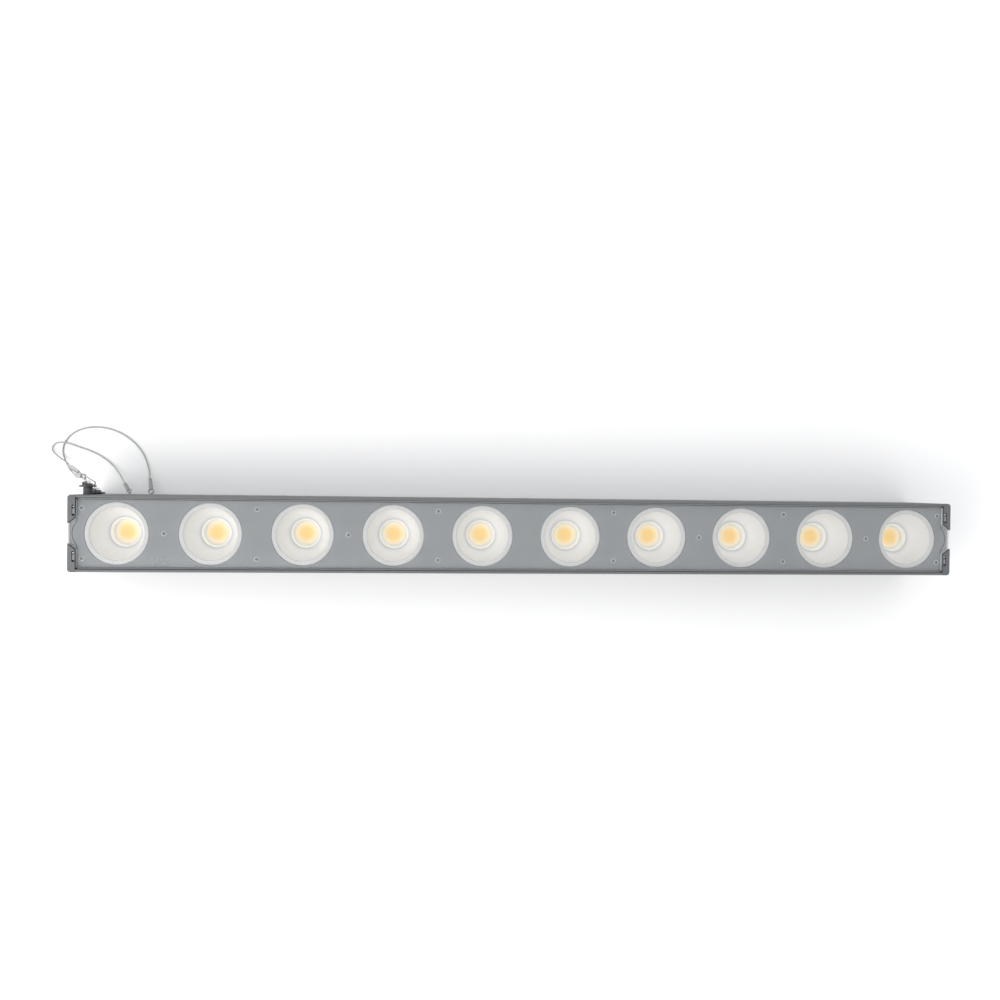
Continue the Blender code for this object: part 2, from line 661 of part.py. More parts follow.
def make_rope(name, route):
    """Wire rope as a round tube along its route."""
    points = smooth_curve(route, ROPE_STEP)
    curve = bpy.data.curves.new(name, "CURVE")
    curve.dimensions = "3D"
    curve.bevel_depth = ROPE_RADIUS * MM
    curve.bevel_resolution = 2
    curve.use_fill_caps = True
    spline = curve.splines.new("POLY")
    spline.points.add(len(points) - 1)
    for target, point in zip(spline.points, points):
        target.co = (*(point * MM), 1.0)
    made = bpy.data.objects.new(name, curve)
    curve.materials.append(material("steel"))
    bpy.context.scene.collection.objects.link(made)


def make_ferrule(name, eye_centre, rope_end):
    """Crimped sleeve that ends at the rope, with an eye of the rope's own wire."""
    eye_centre = Vector(eye_centre)
    rope_end = Vector(rope_end)
    along = (rope_end - eye_centre).normalized()
    across = Vector((0.0, 0.0, 1.0)).cross(along).normalized()
    sleeve_end = rope_end - along * FIT
    sleeve_start = sleeve_end - along * SLEEVE_LENGTH
    legs = [(sleeve_start + along * 4.0, EYE_LEG), (sleeve_start - along * 0.5, EYE_LEG)]
    eye = [spot + across * offset for spot, offset in legs]
    for step in range(11):
        angle = math.radians(50 + 260 * step / 10)
        eye.append(eye_centre + EYE_RADIUS * (math.cos(angle) * along + math.sin(angle) * across))
    eye += [spot - across * offset for spot, offset in reversed(legs)]
    rounded = SLEEVE_RADIUS - 0.5
    profile = [(0.0, 0.0), (rounded, 0.0), (SLEEVE_RADIUS, 0.6)]
    profile += [(SLEEVE_RADIUS, SLEEVE_LENGTH - 0.6), (rounded, SLEEVE_LENGTH), (0.0, SLEEVE_LENGTH)]
    sleeve = part(name, turned(profile, frame_at(sleeve_start, along), 12), "steel")
    return combine(sleeve, [part("eye", swept(eye, EYE_WIRE, 6), "steel")], "UNION")


def make_staple(name, eye_centre):
    """Bent bar on the side wall; the eye is hooked behind its bridge."""
    x, y, z = eye_centre
    wall = WIDTH / 2 + FIT
    reach = y - EYE_HANG
    rise = STAPLE_RISE
    path = [(x, wall, z - rise), (x, reach - 1.2, z - rise), (x, reach - 0.3, z - rise + 0.9)]
    path += [(x, reach, z - rise + 1.8), (x, reach, z + rise - 1.8), (x, reach - 0.3, z + rise - 0.9)]
    path += [(x, reach - 1.2, z + rise), (x, wall, z + rise)]
    part(name, swept(path, STAPLE_WIRE, 8), "steel")


def make_lanyards():
    """Each wire rope runs from a staple on the side wall to its pin's ring."""
    for name, route in ROUTES.items():
        make_rope(f"lanyard_{name}", route)
        make_staple(f"lanyard_staple_{name}", WALL_EYES[name])
        make_ferrule(f"wall_ferrule_{name}", WALL_EYES[name], route[0])
        far = ring_hole(PINS[name]) + Vector((0.0, 2 * RING_RADIUS, 0.0))
        along = (Vector(route[-1]) - far).normalized()
        make_ferrule(f"pin_ferrule_{name}", far + along * EYE_HANG, route[-1])


def make_panel():
    """Menu panel in the wall opposite the pins: fascia, display window and four buttons."""
    half = WIDTH / 2
    low = (PANEL_X - PANEL_LENGTH / 2 + FIT, PANEL_Z - PANEL_HEIGHT / 2 + FIT)
    high = (PANEL_X + PANEL_LENGTH / 2 - FIT, PANEL_Z + PANEL_HEIGHT / 2 - FIT)
    outline = rounded_rectangle(low, high, 2.7)
    fascia = part("panel_fascia", extruded(outline, "Y", -half, -half + PANEL_THICK), "black_plastic")
    wide, tall = DISPLAY_SIZE
    centre = PANEL_X + DISPLAY_X
    window = rectangle((centre - wide / 2, PANEL_Z - tall / 2), (centre + wide / 2, PANEL_Z + tall / 2))
    cutters = [part("cutter", extruded(window, "Y", -half - 2, -half + 5), "black_plastic")]
    for number in range(4):
        spot = (PANEL_X + MENU_FIRST_X + number * BUTTON_PITCH, -half, PANEL_Z)
        hole = cylinder(spot, (0, 1, 0), MENU_BUTTON_RADIUS + 0.35, -2.0, 5.0, 18)
        cutters.append(part("cutter", hole, "black_plastic"))
        profile = [(0.0, 4.4), (MENU_BUTTON_RADIUS, 4.4), (MENU_BUTTON_RADIUS, -0.5)]
        profile += [(MENU_BUTTON_RADIUS - 0.5, -0.8), (0.0, -0.9)]
        button = turned(profile, frame_at(spot, (0, 1, 0)), 16)
        part(f"menu_button_{number + 1}", button, "black_plastic", spot)
    combine(fascia, cutters, "DIFFERENCE")
    low = (centre - wide / 2 + FIT, -half + 0.5, PANEL_Z - tall / 2 + FIT)
    high = (centre + wide / 2 - FIT, -half + PANEL_THICK - 0.2, PANEL_Z + tall / 2 - FIT)
    part("display_window", box(low, high), "display")


def make_connector(name, end, side, finish, core):
    """Panel connector set flush in an end cap: flange, round shell and an insert in its cavity."""
    wide, tall, thick = SOCKET_FLANGE
    y = side * SOCKET_Y
    outer = LENGTH / 2
    frame = frame_at((0.0, y, SOCKET_Z), (end, 0, 0))
    low, high = (y - wide / 2, SOCKET_Z - tall / 2), (y + wide / 2, SOCKET_Z + tall / 2)
    near, far = sorted((end * (outer - thick), end * outer))
    body = part(name, extruded(rounded_rectangle(low, high, 2.0), "X", near, far), finish)
    back, front = outer - SOCKET_LENGTH, outer - 0.6
    shell = [(0.0, back), (SOCKET_RADIUS, back), (SOCKET_RADIUS, front), (0.0, front)]
    combine(body, [part("shell", turned(shell, frame, 18), finish)], "UNION")
    axis_foot = (0.0, y, SOCKET_Z)
    cavity = cylinder(axis_foot, (end, 0, 0), CAVITY_RADIUS, outer - CAVITY_DEPTH, outer + 4.0, 18)
    combine(body, [part("cavity", cavity, finish)], "DIFFERENCE")
    inserts = []
    for place in range(core["count"]):
        angle = math.tau * place / core["count"] + math.pi / 2
        spot = (0.0, y + core["spread"] * math.cos(angle), SOCKET_Z + core["spread"] * math.sin(angle))
        low, high = outer - CAVITY_DEPTH - 1.0, outer - core["sunk"]
        bar = cylinder(spot, (end, 0, 0), core["radius"], low, high, 8)
        inserts.append(part("insert", bar, finish))
    combine(body, inserts, "UNION")


def make_connectors():
    power = {"count": 1, "spread": 0.0, "radius": 4.4, "sunk": 2.0}
    data = {"count": 5, "spread": 4.6, "radius": 0.9, "sunk": 5.6}
    make_connector("power_inlet", -1, -1, "power_blue", power)
    make_connector("power_outlet", 1, -1, "power_grey", power)
    make_connector("data_inlet", -1, 1, "black_plastic", data)
    make_connector("data_outlet", 1, 1, "black_plastic", data)


def make_vent():
    """Pressure plug in the wall opposite the pins."""
    spot = (-VENT_X, -WIDTH / 2, PANEL_Z)
    profile = [(0.0, -1.8), (6.4, -1.8), (7.4, -1.0), (7.4, -FIT), (5.9, -FIT), (5.9, 4.6), (0.0, 4.6)]
    part("breather_vent", turned(profile, frame_at(spot, (0, 1, 0)), 18), "black_plastic")


make_housing()
make_base_rail()
make_end_cap("end_cap_left", -1)
make_end_cap("end_cap_right", 1)
make_front()
make_lights()
make_heat_sink()
make_electronics()
make_link_blocks()
for pin_name, pin_place in PINS.items():
    make_lock_pin(f"lock_pin_{pin_name}", pin_place)
    make_pin_button(f"pin_button_{pin_name}", pin_place)
    make_split_ring(f"split_ring_{pin_name}", pin_place)
make_lanyards()
make_panel()
make_connectors()
make_vent()
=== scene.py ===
"""Looks of a one metre LED strip batten that lies on its back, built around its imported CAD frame.

Shapes are written in millimetres in the CAD frame: X along the batten, +Z out of the light
openings, +Y the long side with the lock pins. They become metres when an object is made.
"""

import math

import bmesh
import bpy
from mathutils import Matrix, Vector


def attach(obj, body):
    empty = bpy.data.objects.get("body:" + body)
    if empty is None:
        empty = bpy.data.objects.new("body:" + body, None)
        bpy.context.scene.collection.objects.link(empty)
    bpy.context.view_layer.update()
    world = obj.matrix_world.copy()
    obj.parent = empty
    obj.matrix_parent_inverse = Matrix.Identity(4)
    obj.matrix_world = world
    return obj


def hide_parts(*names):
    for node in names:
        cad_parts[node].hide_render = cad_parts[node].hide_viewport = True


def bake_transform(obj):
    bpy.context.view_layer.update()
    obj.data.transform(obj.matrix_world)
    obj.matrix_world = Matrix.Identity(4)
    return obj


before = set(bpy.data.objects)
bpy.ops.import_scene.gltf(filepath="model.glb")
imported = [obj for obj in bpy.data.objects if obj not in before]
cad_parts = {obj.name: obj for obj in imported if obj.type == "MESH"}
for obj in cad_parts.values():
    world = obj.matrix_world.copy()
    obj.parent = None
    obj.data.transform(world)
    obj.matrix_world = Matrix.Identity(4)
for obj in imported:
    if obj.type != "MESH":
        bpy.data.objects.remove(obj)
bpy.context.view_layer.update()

MM = 0.001
FIT = 0.3                       # gap between neighbouring pieces
LENGTH = 1000.0
WIDTH = 84.0
DEPTH = 100.0
WALL = 3.0
HALF = WIDTH / 2
INNER = HALF - WALL             # inner face of the side walls
CAP_THICK = 8.0
CAP_FACE = LENGTH / 2 - CAP_THICK
BODY_END = CAP_FACE - FIT
PLATE_LOW = 92.5
PLATE_HIGH = 94.0
COVER_LOW = 94.3
COVER_HIGH = 97.3
COVER_HALF = 37.1
PLATE_END = 491.5
PLATE_BULGE = (478.5, 18.0)     # centre and radius of the round nose at the plate's end
OPENING_RADIUS = 34.4
CAP_SADDLE = 92.2
CAP_CORNER = 3.5
CAP_SCREW_Y = 34.5
CAP_SCREW_LEVELS = (8.0, 74.0)
LUG_FOOT = 18.0                 # half width between the lugs at the cap's inner face
LUG_TIP = 11.0                  # half width between the lugs at its outer face
LUG_SLOT = (3.0, 12.0)
LUG_SLOT_X = LENGTH / 2 - 6.0
LUG_SLOT_Y = 25.0
LATCH_SIZE = (2.2, 6.0)
SCREW_ROW = 27.5
END_SCREW = 487.0
CUP_COUNT = 10
PITCH = 100.0
BOARD_HIGH = 51.5
PIN_X = -485.0
PIN_RADIUS = 5.0
PIN_BORE = 5.45
PINS = {"upper": {"z": 80.0, "proud": 8.3}, "lower": {"z": 50.0, "proud": 0.6}}
RING_RADIUS = 3.4
EAR_X = -1.2
EAR_Z = 7.0
EAR_HOLE_RISE = 2.2
FLANGE_THICK = 2.0
COLLAR_HEIGHT = 2.0
ROPE_RADIUS = 0.8
ROPE_LAY = 10.0                 # length of one turn of the rope's strands
ROUTES = {
    "upper": [
        (-437.9, 60.6, 6.1), (-439.0, 65.4, 3.6), (-440.6, 72.0, 1.7), (-443.6, 81.8, 1.0),
        (-448.0, 91.2, 1.0), (-454.6, 100.0, 1.0), (-462.9, 107.5, 1.0), (-472.5, 113.6, 1.0),
        (-483.0, 117.9, 1.0), (-494.3, 120.2, 1.0), (-505.7, 120.3, 1.0), (-516.1, 118.4, 1.0),
        (-525.2, 114.3, 1.0), (-532.6, 108.1, 1.0), (-537.4, 100.4, 1.0), (-539.0, 92.2, 1.0),
        (-537.6, 85.4, 1.5), (-534.6, 79.8, 4.5), (-529.8, 75.2, 12.5), (-523.6, 71.6, 26.0),
        (-516.6, 68.6, 41.0), (-509.4, 65.9, 55.5), (-501.7, 63.2, 69.8),
    ],
    "lower": [
        (-464.4, 54.1, 14.2), (-467.4, 58.0, 10.0), (-472.4, 64.6, 5.4), (-479.6, 73.4, 2.2),
        (-487.3, 80.5, 1.0), (-495.2, 86.1, 1.0), (-503.0, 90.3, 1.0), (-511.7, 93.9, 1.0),
        (-520.4, 96.8, 1.1), (-529.4, 99.9, 2.0), (-537.4, 101.7, 3.1), (-545.6, 100.9, 2.7),
        (-550.4, 96.4, 2.1), (-549.7, 91.3, 2.2), (-545.2, 86.9, 3.3), (-539.9, 83.2, 5.8),
        (-534.4, 80.4, 10.2), (-528.8, 78.0, 17.0), (-523.4, 75.4, 26.4), (-518.2, 72.8, 36.4),
    ],
}
WALL_EYES = {"upper": (-434.9, 45.5, 12.0), "lower": (-456.6, 45.5, 25.0)}
EYE_RADIUS = 2.9
EYE_HANG = 0.8
EYE_LEG = 1.0
EYE_WIRE = 0.7
SLEEVE_LENGTH = 14.0
STAPLE_WIRE = 0.6
STAPLE_RISE = 4.5
PANEL_X = 265.0
PANEL_Z = 21.5
PANEL_SIZE = (104.0, 18.0)
DISPLAY_X = -24.0
DISPLAY_SIZE = (38.0, 12.0)
MENU_FIRST_X = 12.0
MENU_PITCH = 11.0
VENT_X = -250.0
SOCKET_Z = 26.5
SOCKET_Y = 15.5
SOCKET_RADIUS = 12.0
SOCKET_FLANGE = (27.0, 29.0)
SOCKET_FLANGE_THICK = 2.0
SOCKET_SCREW = (10.6, 11.6)     # a flange screw, across and up from the socket's axis


# ---- shapes

def lengthwise(route, step):
    """Points at equal steps along a Catmull-Rom curve through the route."""
    spots = [Vector(point) for point in route]
    ends = [spots[0] * 2 - spots[1]] + spots + [spots[-1] * 2 - spots[-2]]
    dense = []
    for a, b, c, d in zip(ends, ends[1:], ends[2:], ends[3:]):
        for part in range(20):
            t = part / 20
            linear = 2 * b + (c - a) * t
            square = (2 * a - 5 * b + 4 * c - d) * t * t
            dense.append(0.5 * (linear + square + (3 * b - a - 3 * c + d) * t ** 3))
    dense.append(spots[-1])
    lengths = [0.0]
    for before, after in zip(dense, dense[1:]):
        lengths.append(lengths[-1] + (after - before).length)
    count = max(2, round(lengths[-1] / step))
    points = []
    index = 0                       # the dense piece that the next point lies on
    for number in range(count + 1):
        wanted = lengths[-1] * number / count
        while index < len(dense) - 2 and lengths[index + 1] < wanted:
            index += 1
        share = (wanted - lengths[index]) / (lengths[index + 1] - lengths[index])
        points.append(dense[index].lerp(dense[index + 1], share))
    return points


def arc(centre, radius, start, end, steps):
    """Points on an arc, angles in degrees."""
    angles = [math.radians(start + (end - start) * step / steps) for step in range(steps + 1)]
    return [(centre[0] + radius * math.cos(a), centre[1] + radius * math.sin(a)) for a in angles]


def filleted(outline, radius, steps=3):
    """A closed outline with each of its corners rounded."""
    rounded = []
    spots = [Vector(point) for point in outline]
    for before, corner, after in zip(spots[-1:] + spots[:-1], spots, spots[1:] + spots[:1]):
        back, ahead = before - corner, after - corner
        opening = back.angle(ahead)
        if opening > math.radians(172):
            rounded.append(corner)
            continue
        reach = min(radius / math.tan(opening / 2), 0.45 * back.length, 0.45 * ahead.length)
        start = corner + back.normalized() * reach
        end = corner + ahead.normalized() * reach
        for step in range(steps + 1):
            t = step / steps
            rounded.append(start * (1 - t) ** 2 + corner * 2 * t * (1 - t) + end * t * t)
    return [(spot.x, spot.y) for spot in rounded]


def round_angles(count):
    return [math.tau * step / count for step in range(count)]


def polar(radius, angle, height=0.0):
    return Vector((radius * math.cos(angle), radius * math.sin(angle), height))


def rectangle(low, high):
    return [(low[0], low[1]), (high[0], low[1]), (high[0], high[1]), (low[0], high[1])]


def around(centre, size, more=0.0):
    """A rectangle round a centre, larger or smaller by a margin on each side."""
    half = [length / 2 + more for length in size]
    return rectangle((centre[0] - half[0], centre[1] - half[1]), (centre[0] + half[0], centre[1] + half[1]))


def frame_at(centre, direction):
    """A frame whose Z axis points along a direction."""
    turn = Vector((0.0, 0.0, 1.0)).rotation_difference(Vector(direction).normalized())
    return Matrix.Translation(Vector(centre)) @ turn.to_matrix().to_4x4()


def above(x, y=0.0):
    """A frame on the back plane with its axes along the batten's."""
    return Matrix.Translation((x, y, 0.0))


def skin(shape, rings, closed=False, capped=False):
    """Faces between neighbouring rings of vertices; a ring of one vertex is a pole."""
    pairs = list(zip(rings, rings[1:]))
    if closed:
        pairs.append((rings[-1], rings[0]))
    for lower, upper in pairs:
        count = max(len(lower), len(upper))
        for step in range(count):
            after = (step + 1) % count
            corners = [lower[step % len(lower)], lower[after % len(lower)]]
            corners += [upper[after % len(upper)], upper[step % len(upper)]]
            unique = list(dict.fromkeys(corners))
            if len(unique) > 2:
                shape.faces.new(unique)
    if capped:
        shape.faces.new(rings[0])
        shape.faces.new(list(reversed(rings[-1])))


def extrude(shape, outline, axis, low, high):
    """A prism. The outline's two coordinates follow the two other axes in X, Y, Z order."""
    rings = []
    for level in (low, high):
        ring = []
        for point in outline:
            spot = list(point)
            spot.insert("XYZ".index(axis), level)
            ring.append(shape.verts.new(spot))
        rings.append(ring)
    skin(shape, rings, capped=True)


def prism(outline, axis, low, high):
    """A new bmesh that holds one prism."""
    shape = bmesh.new()
    extrude(shape, outline, axis, low, high)
    return shape


def turned(profile, place, segments, closed=False):
    """A new bmesh that holds one turned body."""
    shape = bmesh.new()
    turn(shape, profile, place, segments, closed)
    return shape


def block(shape, low, high):
    extrude(shape, rectangle(low[:2], high[:2]), "Z", low[2], high[2])


def turn(shape, profile, place, segments, closed=False):
    """Turn (radius, height) points about the Z axis of a frame."""
    rings = []
    for radius, height in profile:
        if radius == 0.0:
            rings.append([shape.verts.new(place @ Vector((0.0, 0.0, height)))])
            continue
        spots = [place @ polar(radius, angle, height) for angle in round_angles(segments)]
        rings.append([shape.verts.new(spot) for spot in spots])
    skin(shape, rings, closed)


def carried(points):
    """Two side directions at each point of a path, carried along it without a twist."""
    sides = []
    side = None
    for index, point in enumerate(points):
        before = points[max(index - 1, 0)]
        after = points[min(index + 1, len(points) - 1)]
        along = (after - before).normalized()
        if side is None:
            side = along.orthogonal()
        side = (side - along * side.dot(along)).normalized()
        sides.append((side, along.cross(side)))
    return sides


def sweep(shape, points, radius, sides):
    """A round bar along a path, with flat ends."""
    rings = []
    for point, (side, other) in zip(points, carried(points)):
        ring = []
        for angle in round_angles(sides):
            spoke = math.cos(angle) * side + math.sin(angle) * other
            ring.append(shape.verts.new(point + radius * spoke))
        rings.append(ring)
    skin(shape, rings, capped=True)


def lay_rope(shape, points, radius, strands=6, sides=6):
    """Strands that twist about a straight core."""
    wire = radius / 3
    sweep(shape, points, wire, sides)
    directions = carried(points)
    for strand in range(strands):
        run = 0.0
        line = []
        for index, (point, (side, other)) in enumerate(zip(points, directions)):
            if index:
                run += (point - points[index - 1]).length
            angle = math.tau * (strand / strands + run / ROPE_LAY)
            line.append(point + (radius - wire) * (math.cos(angle) * side + math.sin(angle) * other))
        sweep(shape, line, wire, sides)


def hexagon_socket(shape, centre, direction, radius, head, socket, depth, dome=0.4, segments=32):
    """A round screw head with a hexagonal socket; its top lies at the centre given."""
    place = frame_at(centre, direction)
    levels = [(-head, radius), (-dome, radius), (-0.12, radius - 0.35), (0.0, radius - 0.6)]
    rings = []
    for level, size in levels + [(0.0, None), (-depth, None)]:
        ring = []
        for angle in round_angles(segments):
            flat = (angle % (math.pi / 3)) - math.pi / 6
            reach = size or socket * math.cos(math.pi / 6) / math.cos(flat)
            ring.append(shape.verts.new(place @ polar(reach, angle, level)))
        rings.append(ring)
    skin(shape, rings, capped=True)


# ---- materials

FINISHES = {}


class Finish:
    """A procedural Principled material; the texture's space is the object's own, in metres."""

    def __init__(self, name, colour, roughness, metallic=0.0, **sockets):
        self.material = bpy.data.materials.new(name)
        self.material.use_nodes = True
        self.tree = self.material.node_tree
        self.shader = self.tree.nodes["Principled BSDF"]
        self.colour = colour
        self.set("Base Color", (*colour, 1.0))
        self.set("Roughness", roughness)
        self.set("Metallic", metallic)
        for socket, value in sockets.items():
            self.set(socket.replace("_", " "), value)
        self.place = self.tree.nodes.new("ShaderNodeTexCoord").outputs["Object"]
        self.height = None
        FINISHES[name] = self

    def set(self, socket, value):
        self.shader.inputs[socket].default_value = value

    def node(self, kind, **values):
        made = self.tree.nodes.new(kind)
        for name, value in values.items():
            if hasattr(made, name):
                setattr(made, name, value)
            else:
                made.inputs[name.replace("_", " ")].default_value = value
        return made

    def link(self, source, target):
        self.tree.links.new(source, target)

    def noise(self, size, stretch=(1.0, 1.0, 1.0), detail=3.0):
        """Noise with features of about this size in millimetres, stretched along the axes."""
        scaled = self.node("ShaderNodeVectorMath", operation="MULTIPLY")
        self.link(self.place, scaled.inputs[0])
        scaled.inputs[1].default_value = [1.0 / (size * MM * factor) for factor in stretch]
        texture = self.node("ShaderNodeTexNoise", Scale=1.0, Detail=detail)
        self.link(scaled.outputs[0], texture.inputs["Vector"])
        return texture.outputs["Fac"]

    def from_axis(self):
        """Distance from the object's own Z axis, in metres."""
        flat = self.node("ShaderNodeVectorMath", operation="MULTIPLY")
        flat.inputs[1].default_value = (1.0, 1.0, 0.0)
        reach = self.node("ShaderNodeVectorMath", operation="LENGTH")
        self.link(self.place, flat.inputs[0])
        self.link(flat.outputs[0], reach.inputs[0])
        return reach.outputs["Value"]

    def ramp(self, source, stops):
        """A colour ramp; the stops are (place, colour)."""
        made = self.node("ShaderNodeValToRGB")
        elements = made.color_ramp.elements
        while len(elements) < len(stops):
            elements.new(0.5)
        for element, (spot, colour) in zip(elements, stops):
            element.position = spot
            element.color = (*colour, 1.0)
        self.link(source, made.inputs["Fac"])
        return made.outputs["Color"]

    def range(self, source, low, high, near=0.35, far=0.65):
        made = self.node("ShaderNodeMapRange")
        for name, value in (("From Min", near), ("From Max", far), ("To Min", low), ("To Max", high)):
            made.inputs[name].default_value = value
        self.link(source, made.inputs["Value"])
        return made.outputs["Result"]

    def tint(self, source, spread):
        """Colour between darker and lighter by a share of itself."""
        low = [value * (1 - spread) for value in self.colour]
        high = [min(1.0, value * (1 + spread)) for value in self.colour]
        self.link(self.ramp(source, [(0.35, low), (0.65, high)]), self.shader.inputs["Base Color"])

    def rough(self, source, low, high):
        self.link(self.range(source, low, high), self.shader.inputs["Roughness"])

    def bump(self, source, depth, strength=1.0):
        """Bump of about this depth in millimetres, on top of any before it."""
        made = self.node("ShaderNodeBump", Strength=strength, Distance=depth * MM)
        self.link(source, made.inputs["Height"])
        if self.height:
            self.link(self.height, made.inputs["Normal"])
        self.height = made.outputs["Normal"]
        self.link(self.height, self.shader.inputs["Normal"])


def dressed(name, colour, roughness, metallic=0.0, tint=(), rough=(), bump=(), **sockets):
    """A finish with noise in it. Tint is (size, spread), rough (size, low, high) and bump (size, depth);
    a last (x, y, z) in any of them stretches its noise."""
    made = Finish(name, colour, roughness, metallic, **sockets)
    for apply, plan in ((made.tint, tint), (made.rough, rough), (made.bump, bump)):
        if plan:
            stretch = plan[-1:] if isinstance(plan[-1], tuple) else ()
            apply(made.noise(plan[0], *stretch), *plan[1:len(plan) - len(stretch)])
    return made


def make_finishes():
    along_20, along_40 = (20.0, 1.0, 1.0), (40.0, 1.0, 1.0)
    dressed("anodised_grey", (0.145, 0.151, 0.156), 0.42, 0.35,
            tint=(9.0, 0.02), rough=(2.5, 0.39, 0.45, along_20), bump=(0.5, 0.02))
    dressed("cast_grey", (0.125, 0.132, 0.137), 0.44, 0.25,
            tint=(9.0, 0.06), rough=(4.0, 0.38, 0.5), bump=(0.9, 0.05))
    greys = {
        "plate_grey": (0.265, 0.277, 0.288),
        "saddle_grey": (0.13, 0.137, 0.142),
        "seal_grey": (0.31, 0.322, 0.33),
    }
    for name, colour in greys.items():
        dressed(name, colour, 0.48, tint=(30.0, 0.03), rough=(2.5, 0.48, 0.6), bump=(0.45, 0.02))

    # Painted reflection: the cover's faint whitish film, more opaque at grazing angles by the Fresnel term,
    # stands in for the bright room mirrored in it; the underside carries a fainter film.
    cover = dressed("acrylic_face", (0.9, 0.93, 0.95), 0.06, rough=(120.0, 0.03, 0.1), Alpha=0.07)
    gloss = cover.node("ShaderNodeFresnel", IOR=1.49)
    painted_reflection = cover.range(gloss.outputs[0], 0.06, 0.6, 0.04, 1.0)
    cover.link(painted_reflection, cover.shader.inputs["Alpha"])
    dressed("acrylic_under", (0.9, 0.93, 0.95), 0.06, rough=(120.0, 0.03, 0.1), Alpha=0.02)
    # Painted highlight: the cover's edge faces are near-opaque white, for the light that its polished edges
    # catch.
    dressed("acrylic_edge", (0.95, 0.97, 0.98), 0.2, rough=(4.0, 0.1, 0.25, (10.0, 1.0, 1.0)), Alpha=0.92)
    dressed("seal_rubber", (0.3, 0.31, 0.32), 0.65, rough=(1.2, 0.6, 0.8), bump=(0.7, 0.04))

    make_light_finishes()

    dressed("bright_steel", (0.78, 0.78, 0.77), 0.24, 1.0, tint=(1.5, 0.08), rough=(0.8, 0.16, 0.32))
    dressed("screw_grey", (0.2, 0.21, 0.215), 0.4, 0.5, rough=(0.8, 0.34, 0.48))
    # Painted highlight: the pale rings round the face screws stand in for the light caught by their chamfered
    # edges.
    dressed("rim_highlight", (0.82, 0.83, 0.83), 0.35, rough=(0.6, 0.3, 0.42))
    dressed("rope_steel", (0.42, 0.42, 0.41), 0.34, 1.0, tint=(1.0, 0.2), rough=(0.6, 0.25, 0.45))
    for name, grey in (("ferrule_metal", 0.5), ("ferrule_dark", 0.26)):
        dressed(name, (grey, grey, grey), 0.26, 1.0,
                tint=(1.6, 0.12), rough=(1.0, 0.2, 0.36), bump=(0.8, 0.03))
    dressed("black_oxide", (0.085, 0.087, 0.09), 0.22, 0.85, tint=(2.0, 0.25), rough=(1.2, 0.18, 0.32))
    dressed("bare_aluminium", (0.58, 0.59, 0.61), 0.36, 0.95,
            tint=(2.0, 0.08, along_40), rough=(4.0, 0.3, 0.45, along_20), bump=(0.4, 0.015, along_40))
    dressed("supply_case", (0.5, 0.51, 0.53), 0.4, 0.9, tint=(6.0, 0.08), rough=(2.0, 0.34, 0.5))

    green, black = (0.02, 0.13, 0.06), (0.03, 0.03, 0.032)
    board = dressed("circuit_board", green, 0.4, bump=(2.0, 0.05))
    level = board.node("ShaderNodeSeparateXYZ")
    board.link(board.place, level.inputs[0])
    raised = board.range(level.outputs["Z"], 0.0, 1.0, 0.0155, 0.0158)
    board.link(board.ramp(raised, [(0.3, green), (0.7, black)]), board.shader.inputs["Base Color"])

    dressed("black_plastic", (0.022, 0.022, 0.024), 0.45, rough=(1.5, 0.38, 0.55), bump=(0.5, 0.03))
    dressed("display_glass", (0.008, 0.012, 0.02), 0.08, rough=(15.0, 0.05, 0.12))
    dressed("power_blue", (0.02, 0.075, 0.36), 0.38, rough=(1.5, 0.32, 0.46), bump=(0.6, 0.02))
    dressed("power_grey", (0.36, 0.37, 0.39), 0.4, rough=(1.5, 0.34, 0.48), bump=(0.6, 0.02))
    dressed("contact_gold", (0.83, 0.6, 0.25), 0.25, 1.0, rough=(0.8, 0.2, 0.35))
    dressed("button_rubber", (0.06, 0.062, 0.066), 0.6, rough=(0.8, 0.52, 0.68), bump=(0.4, 0.02))
    dressed("mark_pale", (0.5, 0.52, 0.54), 0.6, rough=(0.8, 0.5, 0.7))
    dressed("floor_white", (0.94, 0.94, 0.94), 0.8, tint=(400.0, 0.006), rough=(30.0, 0.75, 0.85))


